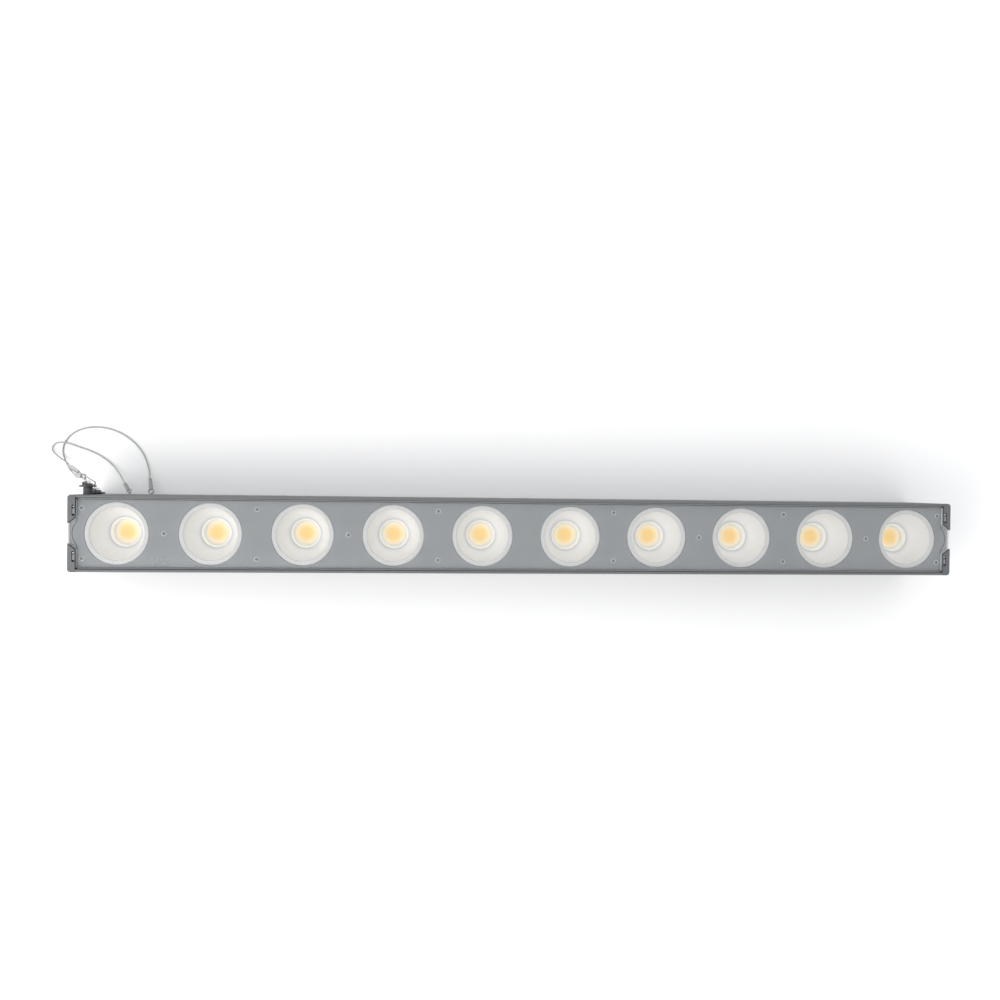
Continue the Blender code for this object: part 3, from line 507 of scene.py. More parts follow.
def make_light_finishes():
    """White cups, the collars and discs of the lights, and the boards under them. The cups carry painted
    shade towards their foot and in the groove; the collars and discs carry a painted glow.
    """
    cups = (
        ("cup_white", (0.93, 0.925, 0.915), 0.0),
        ("cup_lip", (0.62, 0.622, 0.615), 0.0),
        # The groove's darker white is painted shade, for the shadow that lies in the groove round the collar.
        ("cup_groove", (0.7, 0.695, 0.69), 0.0),
        # The collar's glow is painted light: the lamp is off, and the glow stands in for light bouncing round
        # the white cup.
        ("collar_white", (0.95, 0.945, 0.92), 0.12),
    )
    for name, colour, glow in cups:
        tint = () if name == "cup_white" else (14.0, 0.012)
        cup = dressed(name, colour, 0.5, tint=tint, rough=(3.0, 0.42, 0.55), bump=(0.6, 0.012),
                      Emission_Color=(1.0, 0.98, 0.93, 1.0), Emission_Strength=glow)
        # Painted shade: the bowl's white turns darker from 21.5 mm to 17 mm off the axis, where shade falls
        # deep in the cup.
        if name == "cup_white":
            share = cup.range(cup.from_axis(), 0.0, 1.0, 0.017, 0.0215)
            shade = cup.ramp(share, [(0.0, (0.76, 0.755, 0.75)), (1.0, colour)])
            cup.link(shade, cup.shader.inputs["Base Color"])
    dressed("board_white", (0.93, 0.9, 0.82), 0.45, tint=(2.0, 0.02), bump=(0.8, 0.01))
    # Painted light: the phosphor glows faintly though the lamp is off.
    phosphor = dressed("phosphor", (1.0, 0.62, 0.2), 0.35, bump=(0.5, 0.02),
                       Emission_Color=(1.0, 0.8, 0.4, 1.0), Emission_Strength=0.1)
    share = phosphor.range(phosphor.from_axis(), 0.0, 1.0, 0.0, 0.0145)
    shade = phosphor.ramp(share, [
        (0.0, (1.0, 0.66, 0.19)),
        (0.4, (1.0, 0.68, 0.23)),
        (0.62, (1.0, 0.78, 0.42)),
        (0.84, (1.0, 0.9, 0.72)),
    ])
    phosphor.link(shade, phosphor.shader.inputs["Base Color"])


# ---- objects

def show(piece):
    bpy.context.scene.collection.objects.link(piece)


def mesh_object(name, shape, finishes, smooth=35.0, origin=(0.0, 0.0, 0.0)):
    """An object from a bmesh in millimetres."""
    origin = Vector(origin)
    bmesh.ops.recalc_face_normals(shape, faces=shape.faces)
    move = Matrix.Scale(MM, 4) @ Matrix.Translation(-origin)
    bmesh.ops.transform(shape, matrix=move, verts=shape.verts)
    mesh = bpy.data.meshes.new(name)
    shape.to_mesh(mesh)
    shape.free()
    mesh.shade_smooth()
    mesh.set_sharp_from_angle(angle=math.radians(smooth))
    made = bpy.data.objects.new(name, mesh)
    made.location = origin * MM
    for finish in finishes.split():
        mesh.materials.append(FINISHES[finish].material)
    show(made)
    return made


def boolean(target, tool_shape, operation="DIFFERENCE", smooth=35.0):
    """Cut a bmesh out of an object, or join it on."""
    tool = mesh_object("tool", tool_shape, "bright_steel")
    modifier = target.modifiers.new("combine", "BOOLEAN")
    modifier.operation = operation
    modifier.solver = "EXACT"
    modifier.object = tool
    graph = bpy.context.evaluated_depsgraph_get()
    mesh = bpy.data.meshes.new_from_object(target.evaluated_get(graph))
    finish = target.data.materials[0]
    target.modifiers.clear()
    target.data = mesh
    mesh.materials.clear()
    mesh.materials.append(finish)
    mesh.set_sharp_from_angle(angle=math.radians(smooth))
    bpy.data.objects.remove(tool, do_unlink=True)
    return target


def settle(piece, node, body="root"):
    """Put a piece on its body, in place of a CAD node."""
    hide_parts(node)
    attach(piece, body)


def add_detail(name, shape, finish, body="root", smooth=35.0):
    """A piece that no CAD node stands for."""
    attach(mesh_object(name, shape, finish, smooth), body)


def soften(piece, width, segments=2, angle=35.0):
    """Round a piece's edges with a bevel of this width in millimetres."""
    bevel = piece.modifiers.new("edges", "BEVEL")
    bevel.width = width * MM
    bevel.segments = segments
    bevel.limit_method = "ANGLE"
    bevel.angle_limit = math.radians(angle)
    bevel.harden_normals = True
    return piece


def cup_centres():
    return [(index - (CUP_COUNT - 1) / 2) * PITCH for index in range(CUP_COUNT)]


def screw_places():
    """Face screws: a pair at each end, then one and two by turns between the cups; none mid-way."""
    places = [(end * END_SCREW, side * SCREW_ROW) for end in (-1, 1) for side in (-1, 1)]
    for gap in range(1, CUP_COUNT):
        x = (gap - CUP_COUNT / 2) * PITCH
        if x == 0.0:
            continue
        places += [(x, 0.0)] if gap % 2 else [(x, -SCREW_ROW), (x, SCREW_ROW)]
    return places


# ---- camera and lanyards

def make_camera():
    data = bpy.data.cameras.new("camera")
    data.sensor_width = 36.0
    data.lens = 34.722
    data.clip_start = 0.01
    camera = bpy.data.objects.new("camera", data)
    forward = Vector((0.09188, -0.01572, -0.99565))
    up = Vector((-0.01056, 0.9998, -0.01676))
    turn_to = Matrix((forward.cross(up), up, -forward)).transposed().to_4x4()
    camera.matrix_world = Matrix.Translation((-0.13083, 0.058, 1.17859)) @ turn_to
    show(camera)
    bpy.context.scene.camera = camera


def pin_levels(pin):
    """Heights along the pin's axis: flange underside, flange top and collar top."""
    under = HALF + pin["proud"]
    return under, under + FLANGE_THICK, under + FLANGE_THICK + COLLAR_HEIGHT


def ring_hole(pin):
    return Vector((PIN_X + EAR_X, pin_levels(pin)[1] + EAR_HOLE_RISE, pin["z"] + EAR_Z))


def make_ferrule(name, node, eye_centre, rope_end, body, finish, girth):
    """Crimped double sleeve with the rope's eye on one side and its cut end on the other."""
    eye_centre = Vector(eye_centre)
    rope_end = Vector(rope_end)
    along = (rope_end - eye_centre).normalized()
    across = Vector((0.0, 0.0, 1.0)).cross(along).normalized()
    over = along.cross(across)
    start = rope_end - along * (FIT + SLEEVE_LENGTH)
    shape = bmesh.new()
    rings = []
    levels = 43
    for index in range(levels):
        share = index / (levels - 1)
        crimp = 0.5 - 0.5 * math.cos(math.tau * 3 * share)
        edge = min(1.0, 12 * share, 12 * (1 - share)) ** 0.5
        wide = girth * (2.25 - 0.3 * crimp) * (0.82 + 0.18 * edge)
        thick = girth * (1.5 - 0.32 * crimp) * (0.75 + 0.25 * edge)
        ring = []
        for angle in round_angles(28):
            waist = 1.0 - 0.16 * math.sin(angle) ** 8
            offset = across * wide * math.cos(angle) + over * thick * math.sin(angle) * waist
            ring.append(shape.verts.new(start + along * SLEEVE_LENGTH * share + offset))
        rings.append(ring)
    skin(shape, rings, capped=True)
    sleeve = mesh_object(name, shape, finish, 50.0)
    settle(sleeve, node, body)

    shape = bmesh.new()
    legs = [(start + along * 2.0, EYE_LEG), (start - along * 0.5, EYE_LEG)]
    eye = [spot + across * offset for spot, offset in legs]
    for step in range(11):
        angle = math.radians(50 + 260 * step / 10)
        eye.append(eye_centre + EYE_RADIUS * (math.cos(angle) * along + math.sin(angle) * across))
    eye += [spot - across * offset for spot, offset in reversed(legs)]
    lay_rope(shape, lengthwise(eye, 0.6), EYE_WIRE)
    tail = [start + along * (SLEEVE_LENGTH + reach) + across * 1.15 for reach in (-2.0, -0.8, 0.4, 1.6)]
    lay_rope(shape, tail, EYE_WIRE - 0.08)
    add_detail(f"{name}_eye", shape, "rope_steel", body, 60.0)
    return sleeve


def make_lanyards():
    """Each wire rope runs from a staple on the side wall to its pin's ring."""
    for name, route in ROUTES.items():
        pin_body = f"pin_{name}"
        far = ring_hole(PINS[name]) + Vector((0.0, 2 * RING_RADIUS, 0.0))
        along = (Vector(route[-1]) - far).normalized()
        on_wall = make_ferrule(f"wall_sleeve_{name}", f"wall_ferrule_{name}", WALL_EYES[name],
                               route[0], "root", "ferrule_dark", 1.0)
        on_pin = make_ferrule(f"pin_sleeve_{name}", f"pin_ferrule_{name}", far + along * EYE_HANG,
                              route[-1], pin_body, "ferrule_metal", 1.2)
        points = lengthwise(route, 0.8)
        shape = bmesh.new()
        lay_rope(shape, points, ROPE_RADIUS)
        rope = mesh_object(f"rope_{name}", shape, "rope_steel", 60.0)
        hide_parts(f"lanyard_{name}")
        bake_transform(rope)
        make_staple(name)


def make_staple(name):
    """Bent bar on the side wall; the eye is hooked behind its bridge."""
    x, y, z = WALL_EYES[name]
    reach = y - EYE_HANG
    foot, bend = z - STAPLE_RISE, 1.5
    path = [(HALF + FIT, foot), (reach - bend - 0.1, foot)]
    path += arc((reach - bend, foot + bend), bend, -90, 0, 6)
    path = [Vector((x, *spot)) for spot in path]
    path += [Vector((x, spot.y, 2 * z - spot.z)) for spot in reversed(path)]
    shape = bmesh.new()
    sweep(shape, path, STAPLE_WIRE, 16)
    staple = mesh_object(f"staple_{name}", shape, "bright_steel", 50.0)
    settle(staple, f"lanyard_staple_{name}")


# ---- body

def make_housing():
    """U extrusion with cooling ribs and rounded rims, its bores chamfered and the panel's opening and the
    vent's hole cut.
    """
    side = [(HALF - 0.6, 0.0), (HALF, 0.6)]
    for rib in range(6):
        level = 42.0 + rib * 7.0
        side += [(HALF, level), (HALF - 1.4, level + 0.8), (HALF - 1.4, level + 3.0), (HALF, level + 3.8)]
    side = filleted(side + [(HALF - 2.0, 60.0)], 0.35, 2)[3:-3]
    side += arc((HALF - 1.4, DEPTH - 1.4), 1.4, 0, 90, 8)
    side += arc((INNER + 0.4, DEPTH - 0.4), 0.4, 90, 180, 3)
    side += arc((INNER - 1.2, 12.2), 1.2, 0, -90, 5)
    outline = side + [(-y, z) for y, z in reversed(side)]
    outline += [(-INNER, 0.0), (-INNER, 8.0), (INNER, 8.0), (INNER, 0.0)]
    shape = prism(outline, "X", -BODY_END, BODY_END)
    housing = mesh_object("housing_extrusion", shape, "anodised_grey", 25.0)
    cutter = bmesh.new()
    for end in (-1, 1):
        for pin in PINS.values():
            profile = [(0.0, -6.0), (PIN_BORE, -6.0), (PIN_BORE, -0.6), (PIN_BORE + 1.2, 0.6), (0.0, 0.6)]
            turn(cutter, profile, frame_at((end * abs(PIN_X), HALF, pin["z"]), (0, 1, 0)), 48)
    opening = filleted(around((PANEL_X, PANEL_Z), PANEL_SIZE), 3.0, 8)
    extrude(cutter, opening, "Y", -HALF - 3.0, -INNER + 3.0)
    turn(cutter, [(0.0, -3.0), (6.3, -3.0), (6.3, 6.0), (0.0, 6.0)],
         frame_at((VENT_X, -HALF, PANEL_Z), (0, 1, 0)), 40)
    boolean(housing, cutter, smooth=25.0)
    settle(housing, "housing")


def make_base_rail():
    half = INNER - FIT
    outline = [(half, 0.0), (half, 7.7), (-half, 7.7), (-half, 0.0)]
    for centre in (-24.0, 24.0):
        outline += [(centre - 4.2, 0.0), (centre - 4.2, 1.8), (centre - 7.5, 1.8), (centre - 7.5, 6.4)]
        outline += [(centre + 7.5, 6.4), (centre + 7.5, 1.8), (centre + 4.2, 1.8), (centre + 4.2, 0.0)]
    shape = prism(filleted(outline, 0.35, 3), "X", -BODY_END, BODY_END)
    settle(mesh_object("slotted_rail", shape, "bare_aluminium", 25.0), "base_rail")


def make_end_cap(name, end):
    """Cap with two slotted corner lugs, the screws of its end face and the seal on its saddle."""
    def flip(points):
        return [(end * x, y) for x, y in points]

    outer = LENGTH / 2
    corner = arc((outer - CAP_CORNER, HALF - CAP_CORNER), CAP_CORNER, 0, 90, 10)
    plate = [(CAP_FACE, -HALF)] + [(x, -y) for x, y in reversed(corner)] + corner + [(CAP_FACE, HALF)]
    shape = prism(flip(plate), "Z", 0.0, CAP_SADDLE)
    cap = mesh_object(f"{name}_casting", shape, "cast_grey")
    joins = bmesh.new()
    for side in (-1, 1):
        lug = [(CAP_FACE, side * LUG_FOOT), (outer, side * LUG_TIP)]
        lug += [(x, side * y) for x, y in corner] + [(CAP_FACE, side * HALF)]
        extrude(joins, flip(lug), "Z", CAP_SADDLE - 6.0, DEPTH)
    turn(joins, [(0.0, 60.0), (3.8, 60.0), (3.8, 91.8), (0.0, 91.8)],
         frame_at((end * END_SCREW, -SCREW_ROW, 0.0), (0, 0, 1)), 32)
    low, high = sorted((end * END_SCREW, end * (CAP_FACE + 2)))
    web = bmesh.new()
    block(web, (low, -SCREW_ROW - 1.5, 62.0), (high, -SCREW_ROW + 1.5, 91.0))
    boolean(cap, joins, "UNION")
    boolean(cap, web, "UNION")
    cutter = bmesh.new()
    for side in (-1, 1):
        slot = filleted(around((end * LUG_SLOT_X, side * LUG_SLOT_Y), LUG_SLOT), 1.4, 6)
        extrude(cutter, slot, "Z", DEPTH - 7.5, DEPTH + 2.0)
        y = side * SOCKET_Y
        turn(cutter, [(0.0, -20.0), (12.5, -20.0), (12.5, -1.0), (0.0, -1.0)],
             frame_at((end * outer, y, SOCKET_Z), (end, 0, 0)), 48)
        for z in CAP_SCREW_LEVELS:
            place = frame_at((end * outer, side * CAP_SCREW_Y, z), (end, 0, 0))
            turn(cutter, [(0.0, -4.2), (3.9, -4.2), (3.9, -0.4), (4.3, 0.4), (0.0, 0.4)], place, 32)
    boolean(cap, cutter)
    pocket = bmesh.new()
    low, high = sorted((end * (outer - SOCKET_FLANGE_THICK - FIT), end * (outer + 5.0)))
    for side in (-1, 1):
        mouth = filleted(around((side * SOCKET_Y, SOCKET_Z), SOCKET_FLANGE, FIT), 2.3, 6)
        extrude(pocket, mouth, "X", low, high)
    boolean(cap, pocket)

    cap.data.materials.append(FINISHES["saddle_grey"].material)
    for face in cap.data.polygons:
        saddle = face.normal.z > 0.9 and abs(face.center.z / MM - CAP_SADDLE) < 0.1
        face.material_index = int(saddle and abs(face.center.y / MM) < LUG_FOOT)
    soften(cap, 0.45, 3, 40.0)
    settle(cap, name)

    screws = bmesh.new()
    for side in (-1, 1):
        for z in CAP_SCREW_LEVELS:
            spot = (end * (outer - 0.9), side * CAP_SCREW_Y, z)
            hexagon_socket(screws, spot, (end, 0, 0), 3.5, 3.0, 1.75, 1.9)
    add_detail(f"{name}_screws", screws, "black_oxide")
    glints = bmesh.new()
    for side in (-1, 1):
        spot = (end * LUG_SLOT_X, side * LUG_SLOT_Y + 4.2, DEPTH - 1.0)
        profile = [(0.0, -6.4), (1.3, -6.4), (1.3, -0.7)] + arc((0.0, -0.95), 1.3, 12, 78, 5) + [(0.0, 0.35)]
        turn(glints, profile, frame_at(spot, (0, 0, 1)), 24)
    add_detail(f"{name}_studs", glints, "bright_steel")

    latches = bmesh.new()
    for side in (-1, 1):
        bar = filleted(around((end * LUG_SLOT_X, side * LUG_SLOT_Y - 0.9), LATCH_SIZE), 0.5, 4)
        extrude(latches, bar, "Z", DEPTH - 7.8, DEPTH - 1.0)
    add_detail(f"{name}_latches", latches, "plate_grey")

    centre, radius = PLATE_BULGE
    start = CAP_FACE + 0.4
    reach = math.degrees(math.acos((start - centre) / (radius + 0.9)))
    outline = [(start, -LUG_FOOT + 1.2), (outer - 0.4, -LUG_TIP + FIT), (outer - 0.4, LUG_TIP - FIT)]
    outline += [(start, LUG_FOOT - 1.2)] + arc((centre, 0.0), radius + 0.9, reach, -reach, 16)
    shape = prism(flip(outline), "Z", PLATE_LOW, PLATE_HIGH)
    add_detail(f"{name}_seal", shape, "seal_grey")


def make_front():
    """Grey plate with chamfered openings, clear cover over it and the seals beside the cover."""
    half = HALF - WALL - 2.0
    centre, radius = PLATE_BULGE
    reach = math.degrees(math.acos((PLATE_END - centre) / radius))
    right = [(PLATE_END, -half)] + arc((centre, 0.0), radius, -reach, reach, 20) + [(PLATE_END, half)]
    shape = prism(filleted(right + [(-x, -y) for x, y in right], 3.0, 5), "Z", PLATE_LOW, PLATE_HIGH)
    plate = mesh_object("front_plate", shape, "plate_grey")
    cutter = bmesh.new()
    for x in cup_centres():
        profile = [(0.0, PLATE_LOW - 2), (OPENING_RADIUS, PLATE_LOW - 2), (OPENING_RADIUS, PLATE_HIGH - 0.2)]
        profile += [(OPENING_RADIUS + 0.3, PLATE_HIGH + 0.1), (0.0, PLATE_HIGH + 0.1)]
        turn(cutter, profile, above(x), 128)
    for x, y in screw_places():
        profile = [(0.0, PLATE_LOW + 0.3), (2.7, PLATE_LOW + 0.3), (2.7, PLATE_HIGH - 0.1)]
        profile += [(2.8, PLATE_HIGH + 0.1), (0.0, PLATE_HIGH + 0.1)]
        turn(cutter, profile, above(x, y), 32)
    boolean(plate, cutter)
    settle(plate, "face_plate")

    screws = bmesh.new()
    rims = bmesh.new()
    for x, y in screw_places():
        hexagon_socket(screws, (x, y, PLATE_HIGH - 0.1), (0, 0, 1), 2.1, 1.1, 1.1, 0.85, 0.3)
        # A ring round each screw carries the painted highlight of its chamfer.
        rim = [(2.65, PLATE_HIGH - 0.7), (2.65, PLATE_HIGH), (2.45, PLATE_HIGH + 0.18)]
        rim += [(2.2, PLATE_HIGH + 0.1), (2.1, PLATE_HIGH - 0.7)]
        turn(rims, rim, above(x, y), 32, closed=True)
    add_detail("face_screws", screws, "screw_grey")
    add_detail("screw_rims", rims, "rim_highlight", smooth=60.0)

    tongue_end = LENGTH / 2 - 0.4
    foot, tip = LUG_FOOT - FIT - 0.3, LUG_TIP - FIT
    side = [(BODY_END, -COVER_HALF), (BODY_END, -foot), (tongue_end, -tip)]
    side += [(tongue_end, tip), (BODY_END, foot), (BODY_END, COVER_HALF)]
    shape = prism(filleted(side + [(-x, -y) for x, y in side], 0.6, 4), "Z", COVER_LOW, COVER_HIGH)
    bevelled = [edge for edge in shape.edges if abs(edge.verts[0].co.z - edge.verts[1].co.z) < 0.01]
    bmesh.ops.bevel(shape, geom=bevelled, offset=0.3, segments=2, affect="EDGES", profile=0.5)
    cover = mesh_object("acrylic_cover", shape, "acrylic_face acrylic_edge acrylic_under")
    # Edge faces take the painted highlight; the top and the underside take the clear finishes.
    for face in cover.data.polygons:
        face.material_index = 1 if abs(face.normal.z) < 0.95 else 0 if face.normal.z > 0 else 2
    settle(cover, "clear_cover")

    for name, sign in (("cover_seal_upper", 1), ("cover_seal_lower", -1)):
        low, high = sorted((sign * (COVER_HALF + FIT), sign * (INNER - FIT)))
        shape = bmesh.new()
        section = filleted(rectangle((low, PLATE_HIGH - 1.0), (high, 96.7)), 0.4, 4)
        extrude(shape, section, "X", -BODY_END + 1.0, BODY_END - 1.0)
        settle(mesh_object(f"{name}_strip", shape, "seal_rubber"), name)


# ---- lights

def cup_profile():
    """Closed section of one cup: bowl, groove, collar round the light, foot, flange and lip."""
    inside = [(29.2, 92.1), (28.6, 82.0), (25.8, 71.0), (21.4, 63.4), (18.5, 60.4)]
    bowl = [(spot.x, spot.y) for spot in lengthwise([(r, z, 0.0) for r, z in inside], 1.6)]
    groove = [(18.2, 60.15), (17.7, 59.85), (17.2, 59.7), (16.8, 59.75)]
    collar = [(16.6, 59.5), (16.3, 60.0), (15.95, 60.1), (15.6, 59.9), (15.4, 59.4), (15.25, 58.2)]
    collar += [(15.1, 56.0), (15.0, 51.9)]
    outside = [(17.4, 51.9), (18.6, 57.0), (24.2, 62.4), (28.2, 70.0), (31.0, 82.0), (31.7, 90.0)]
    lip = [(36.8, 90.0), (36.8, 92.1), (34.0, 92.1), (34.0, 93.5)]
    lip += arc((33.6, 93.5), 0.4, 0, 90, 4)
    lip += [(30.4, 93.4)] + arc((30.3, 92.3), 1.1, 90, 175, 6)
    return bowl + groove + collar + outside + lip


def make_lights():
    """Ten equal cups on their boards; the copies share one mesh."""
    cup_mesh = None
    led_mesh = None
    for number, x in enumerate(cup_centres(), start=1):
        if cup_mesh is None:
            shape = turned(cup_profile(), above(x), 128, closed=True)
            finishes = "cup_white cup_lip cup_groove collar_white"
            cup = mesh_object("cup_01", shape, finishes, 30.0, (x, 0.0, 0.0))
            for face in cup.data.polygons:
                reach, level = math.hypot(face.center.x, face.center.y) / MM, face.center.z / MM
                if level > 92.2:
                    face.material_index = 1
                # Faces in the groove take its painted shade; those of the collar take the collar's finish.
                elif reach < 18.5 and 58.0 < level < 60.3:
                    face.material_index = 2 if reach > 16.5 else 3
                elif reach < 15.5:
                    face.material_index = 3
            shape = bmesh.new()
            edge = filleted(rectangle((x - 17.0, -17.0), (x + 17.0, 17.0)), 1.5, 5)
            extrude(shape, edge, "Z", 50.0, BOARD_HIGH)
            led = mesh_object("led_01", shape, "board_white phosphor", 30.0, (x, 0.0, 0.0))
            dome = bmesh.new()
            profile = [(0.0, BOARD_HIGH - 0.6), (12.2, BOARD_HIGH - 0.6), (12.2, BOARD_HIGH + 0.35)]
            profile += [(11.9, BOARD_HIGH + 0.6), (11.4, BOARD_HIGH + 0.68), (8.0, BOARD_HIGH + 0.85)]
            profile += [(4.0, BOARD_HIGH + 1.0), (0.0, BOARD_HIGH + 1.1)]
            turn(dome, profile, above(x), 64)
            boolean(led, dome, "UNION", 30.0)
            led.data.materials.append(FINISHES["phosphor"].material)
            for face in led.data.polygons:
                face.material_index = int(face.center.z > (BOARD_HIGH + 0.02) * MM)
            cup_mesh, led_mesh = cup.data, led.data
        else:
            cup = bpy.data.objects.new(f"cup_{number:02d}", cup_mesh)
            led = bpy.data.objects.new(f"led_{number:02d}", led_mesh)
            for copy in (cup, led):
                copy.location = (x * MM, 0.0, 0.0)
                show(copy)
        settle(cup, f"reflector_cup_{number:02d}")
        settle(led, f"cob_led_{number:02d}")


# ---- lock pins

def make_pin(name, pin):
    """Ball lock pin: shank with its balls, flange, collar, ear, ring and push button."""
    under, top, collar = pin_levels(pin)
    place = frame_at((PIN_X, 0.0, pin["z"]), (0, 1, 0))
    tip = under - 30.0
    profile = [(0.0, tip - 1.0), (3.0, tip - 1.0), (3.6, tip - 0.7), (4.9, tip + 0.9)]
    profile += [(PIN_RADIUS, tip + 1.4), (PIN_RADIUS, under - 1.6), (4.7, under - 1.4)]
    profile += [(4.7, under - 0.4), (5.4, under)]
    profile += [(8.4, under), (8.8, under + 0.12), (9.0, under + 0.45), (9.0, top - 0.45), (8.8, top - 0.12)]
    profile += [(8.4, top), (5.5, top), (5.1, top + 0.25), (5.0, top + 0.6), (4.95, collar - 0.5)]
    profile += [(4.8, collar - 0.15), (4.5, collar), (3.6, collar), (3.4, collar - 0.2), (3.4, collar - 4.5)]
    profile += [(0.0, collar - 4.5)]
    shape = turned(profile, place, 64)
    lock_pin = mesh_object(f"pin_{name}_barrel", shape, "black_oxide")
    ear_x, ear_z = PIN_X + EAR_X, pin["z"] + EAR_Z
    outline = [(ear_x + 2.4, top - 1.0)] + arc((ear_x, top + 1.7), 2.4, 0, 180, 20)
    outline += [(ear_x - 2.4, top - 1.0)]
    ear = prism(outline, "Z", ear_z - 1.1, ear_z + 1.1)
    boolean(lock_pin, ear, "UNION")
    cutter = bmesh.new()
    hole = [(0.0, -2.0), (1.65, -1.6), (1.15, -0.7), (1.15, 0.7), (1.65, 1.6), (0.0, 2.0)]
    turn(cutter, hole, frame_at((ear_x, top + EAR_HOLE_RISE, ear_z), (0, 0, 1)), 32)
    boolean(lock_pin, cutter)
    soften(lock_pin, 0.12, 2, 45.0)
    body = f"pin_{name}"
    settle(lock_pin, f"lock_pin_{name}", body)

    balls = bmesh.new()
    for side in (-1, 1):
        centre = (PIN_X + side * 3.9, tip + 3.6, pin["z"])
        bmesh.ops.create_uvsphere(
            balls, u_segments=20, v_segments=12, radius=1.5, matrix=Matrix.Translation(centre))
    add_detail(f"pin_{name}_balls", balls, "bright_steel", body)

    high = collar + 3.5
    low = collar - 1.3
    profile = [(0.0, low), (3.0, low), (3.0, high - 1.7), (2.93, high - 1.3), (2.7, high - 0.85)]
    profile += [(2.25, high - 0.45), (1.6, high - 0.2), (0.8, high - 0.05), (0.0, high)]
    shape = turned(profile, place, 48)
    button = mesh_object(f"button_{name}_plunger", shape, "bright_steel")
    settle(button, f"pin_button_{name}", f"button_{name}")

    centre = ring_hole(pin) + Vector((0.0, RING_RADIUS, 0.0))
    coil = []
    for step in range(97):
        angle = math.tau * 2.1 * step / 96
        lift = -0.33 + 0.66 * min(1.0, max(0.0, (angle - math.tau) / 0.9 + 0.5))
        coil.append(centre + Vector((lift, RING_RADIUS * math.cos(angle), RING_RADIUS * math.sin(angle))))
    shape = bmesh.new()
    sweep(shape, coil, 0.33, 10)
    ring = mesh_object(f"ring_{name}_coil", shape, "bright_steel", 50.0)
    settle(ring, f"split_ring_{name}", body)


# ---- panel, connectors, vent

def make_panel():
    """Menu panel: fascia, display window with blank digits, and four buttons with arrow marks."""
    shape = bmesh.new()
    edge = filleted(around((PANEL_X, PANEL_Z), PANEL_SIZE, -FIT), 2.7, 8)
    extrude(shape, edge, "Y", -HALF, -HALF + 2.4)
    fascia = mesh_object("menu_fascia", shape, "black_plastic")
    wide, tall = DISPLAY_SIZE
    centre = PANEL_X + DISPLAY_X
    cutter = prism(filleted(around((centre, PANEL_Z), (wide, tall)), 0.5), "Y", -HALF - 2, -HALF + 5)
    for number in range(4):
        spot = (PANEL_X + MENU_FIRST_X + number * MENU_PITCH, -HALF, PANEL_Z)
        turn(cutter, [(0.0, -2.0), (3.35, -2.0), (3.35, 5.0), (0.0, 5.0)], frame_at(spot, (0, 1, 0)), 40)
        profile = [(0.0, 4.4), (3.0, 4.4), (3.0, -0.4), (2.85, -0.65), (2.5, -0.8), (1.5, -0.87), (0.0, -0.9)]
        shape = turned(profile, frame_at(spot, (0, 1, 0)), 40)
        button = mesh_object(f"menu_key_{number + 1}", shape, "button_rubber")
        settle(button, f"menu_button_{number + 1}", f"menu_{number + 1}")
        shape = bmesh.new()
        heading = math.radians((180, 270, 90, 0)[number])
        points = [(1.25 * math.cos(heading + a), 1.25 * math.sin(heading + a)) for a in (0.0, 2.3, -2.3)]
        arrow = filleted([(spot[0] + px, PANEL_Z + pz) for px, pz in points], 0.2)
        extrude(shape, arrow, "Y", -HALF - 1.0, -HALF - 0.7)
        add_detail(f"menu_mark_{number + 1}", shape, "mark_pale", f"menu_{number + 1}")
    boolean(fascia, cutter)
    soften(fascia, 0.35, 3)
    settle(fascia, "panel_fascia")
    shape = bmesh.new()
    block(shape, (centre - wide / 2 + FIT, -HALF + 0.5, PANEL_Z - tall / 2 + FIT),
          (centre + wide / 2 - FIT, -HALF + 2.2, PANEL_Z + tall / 2 - FIT))
    pane = soften(mesh_object("display_pane", shape, "display_glass"), 0.2)
    settle(pane, "display_window")


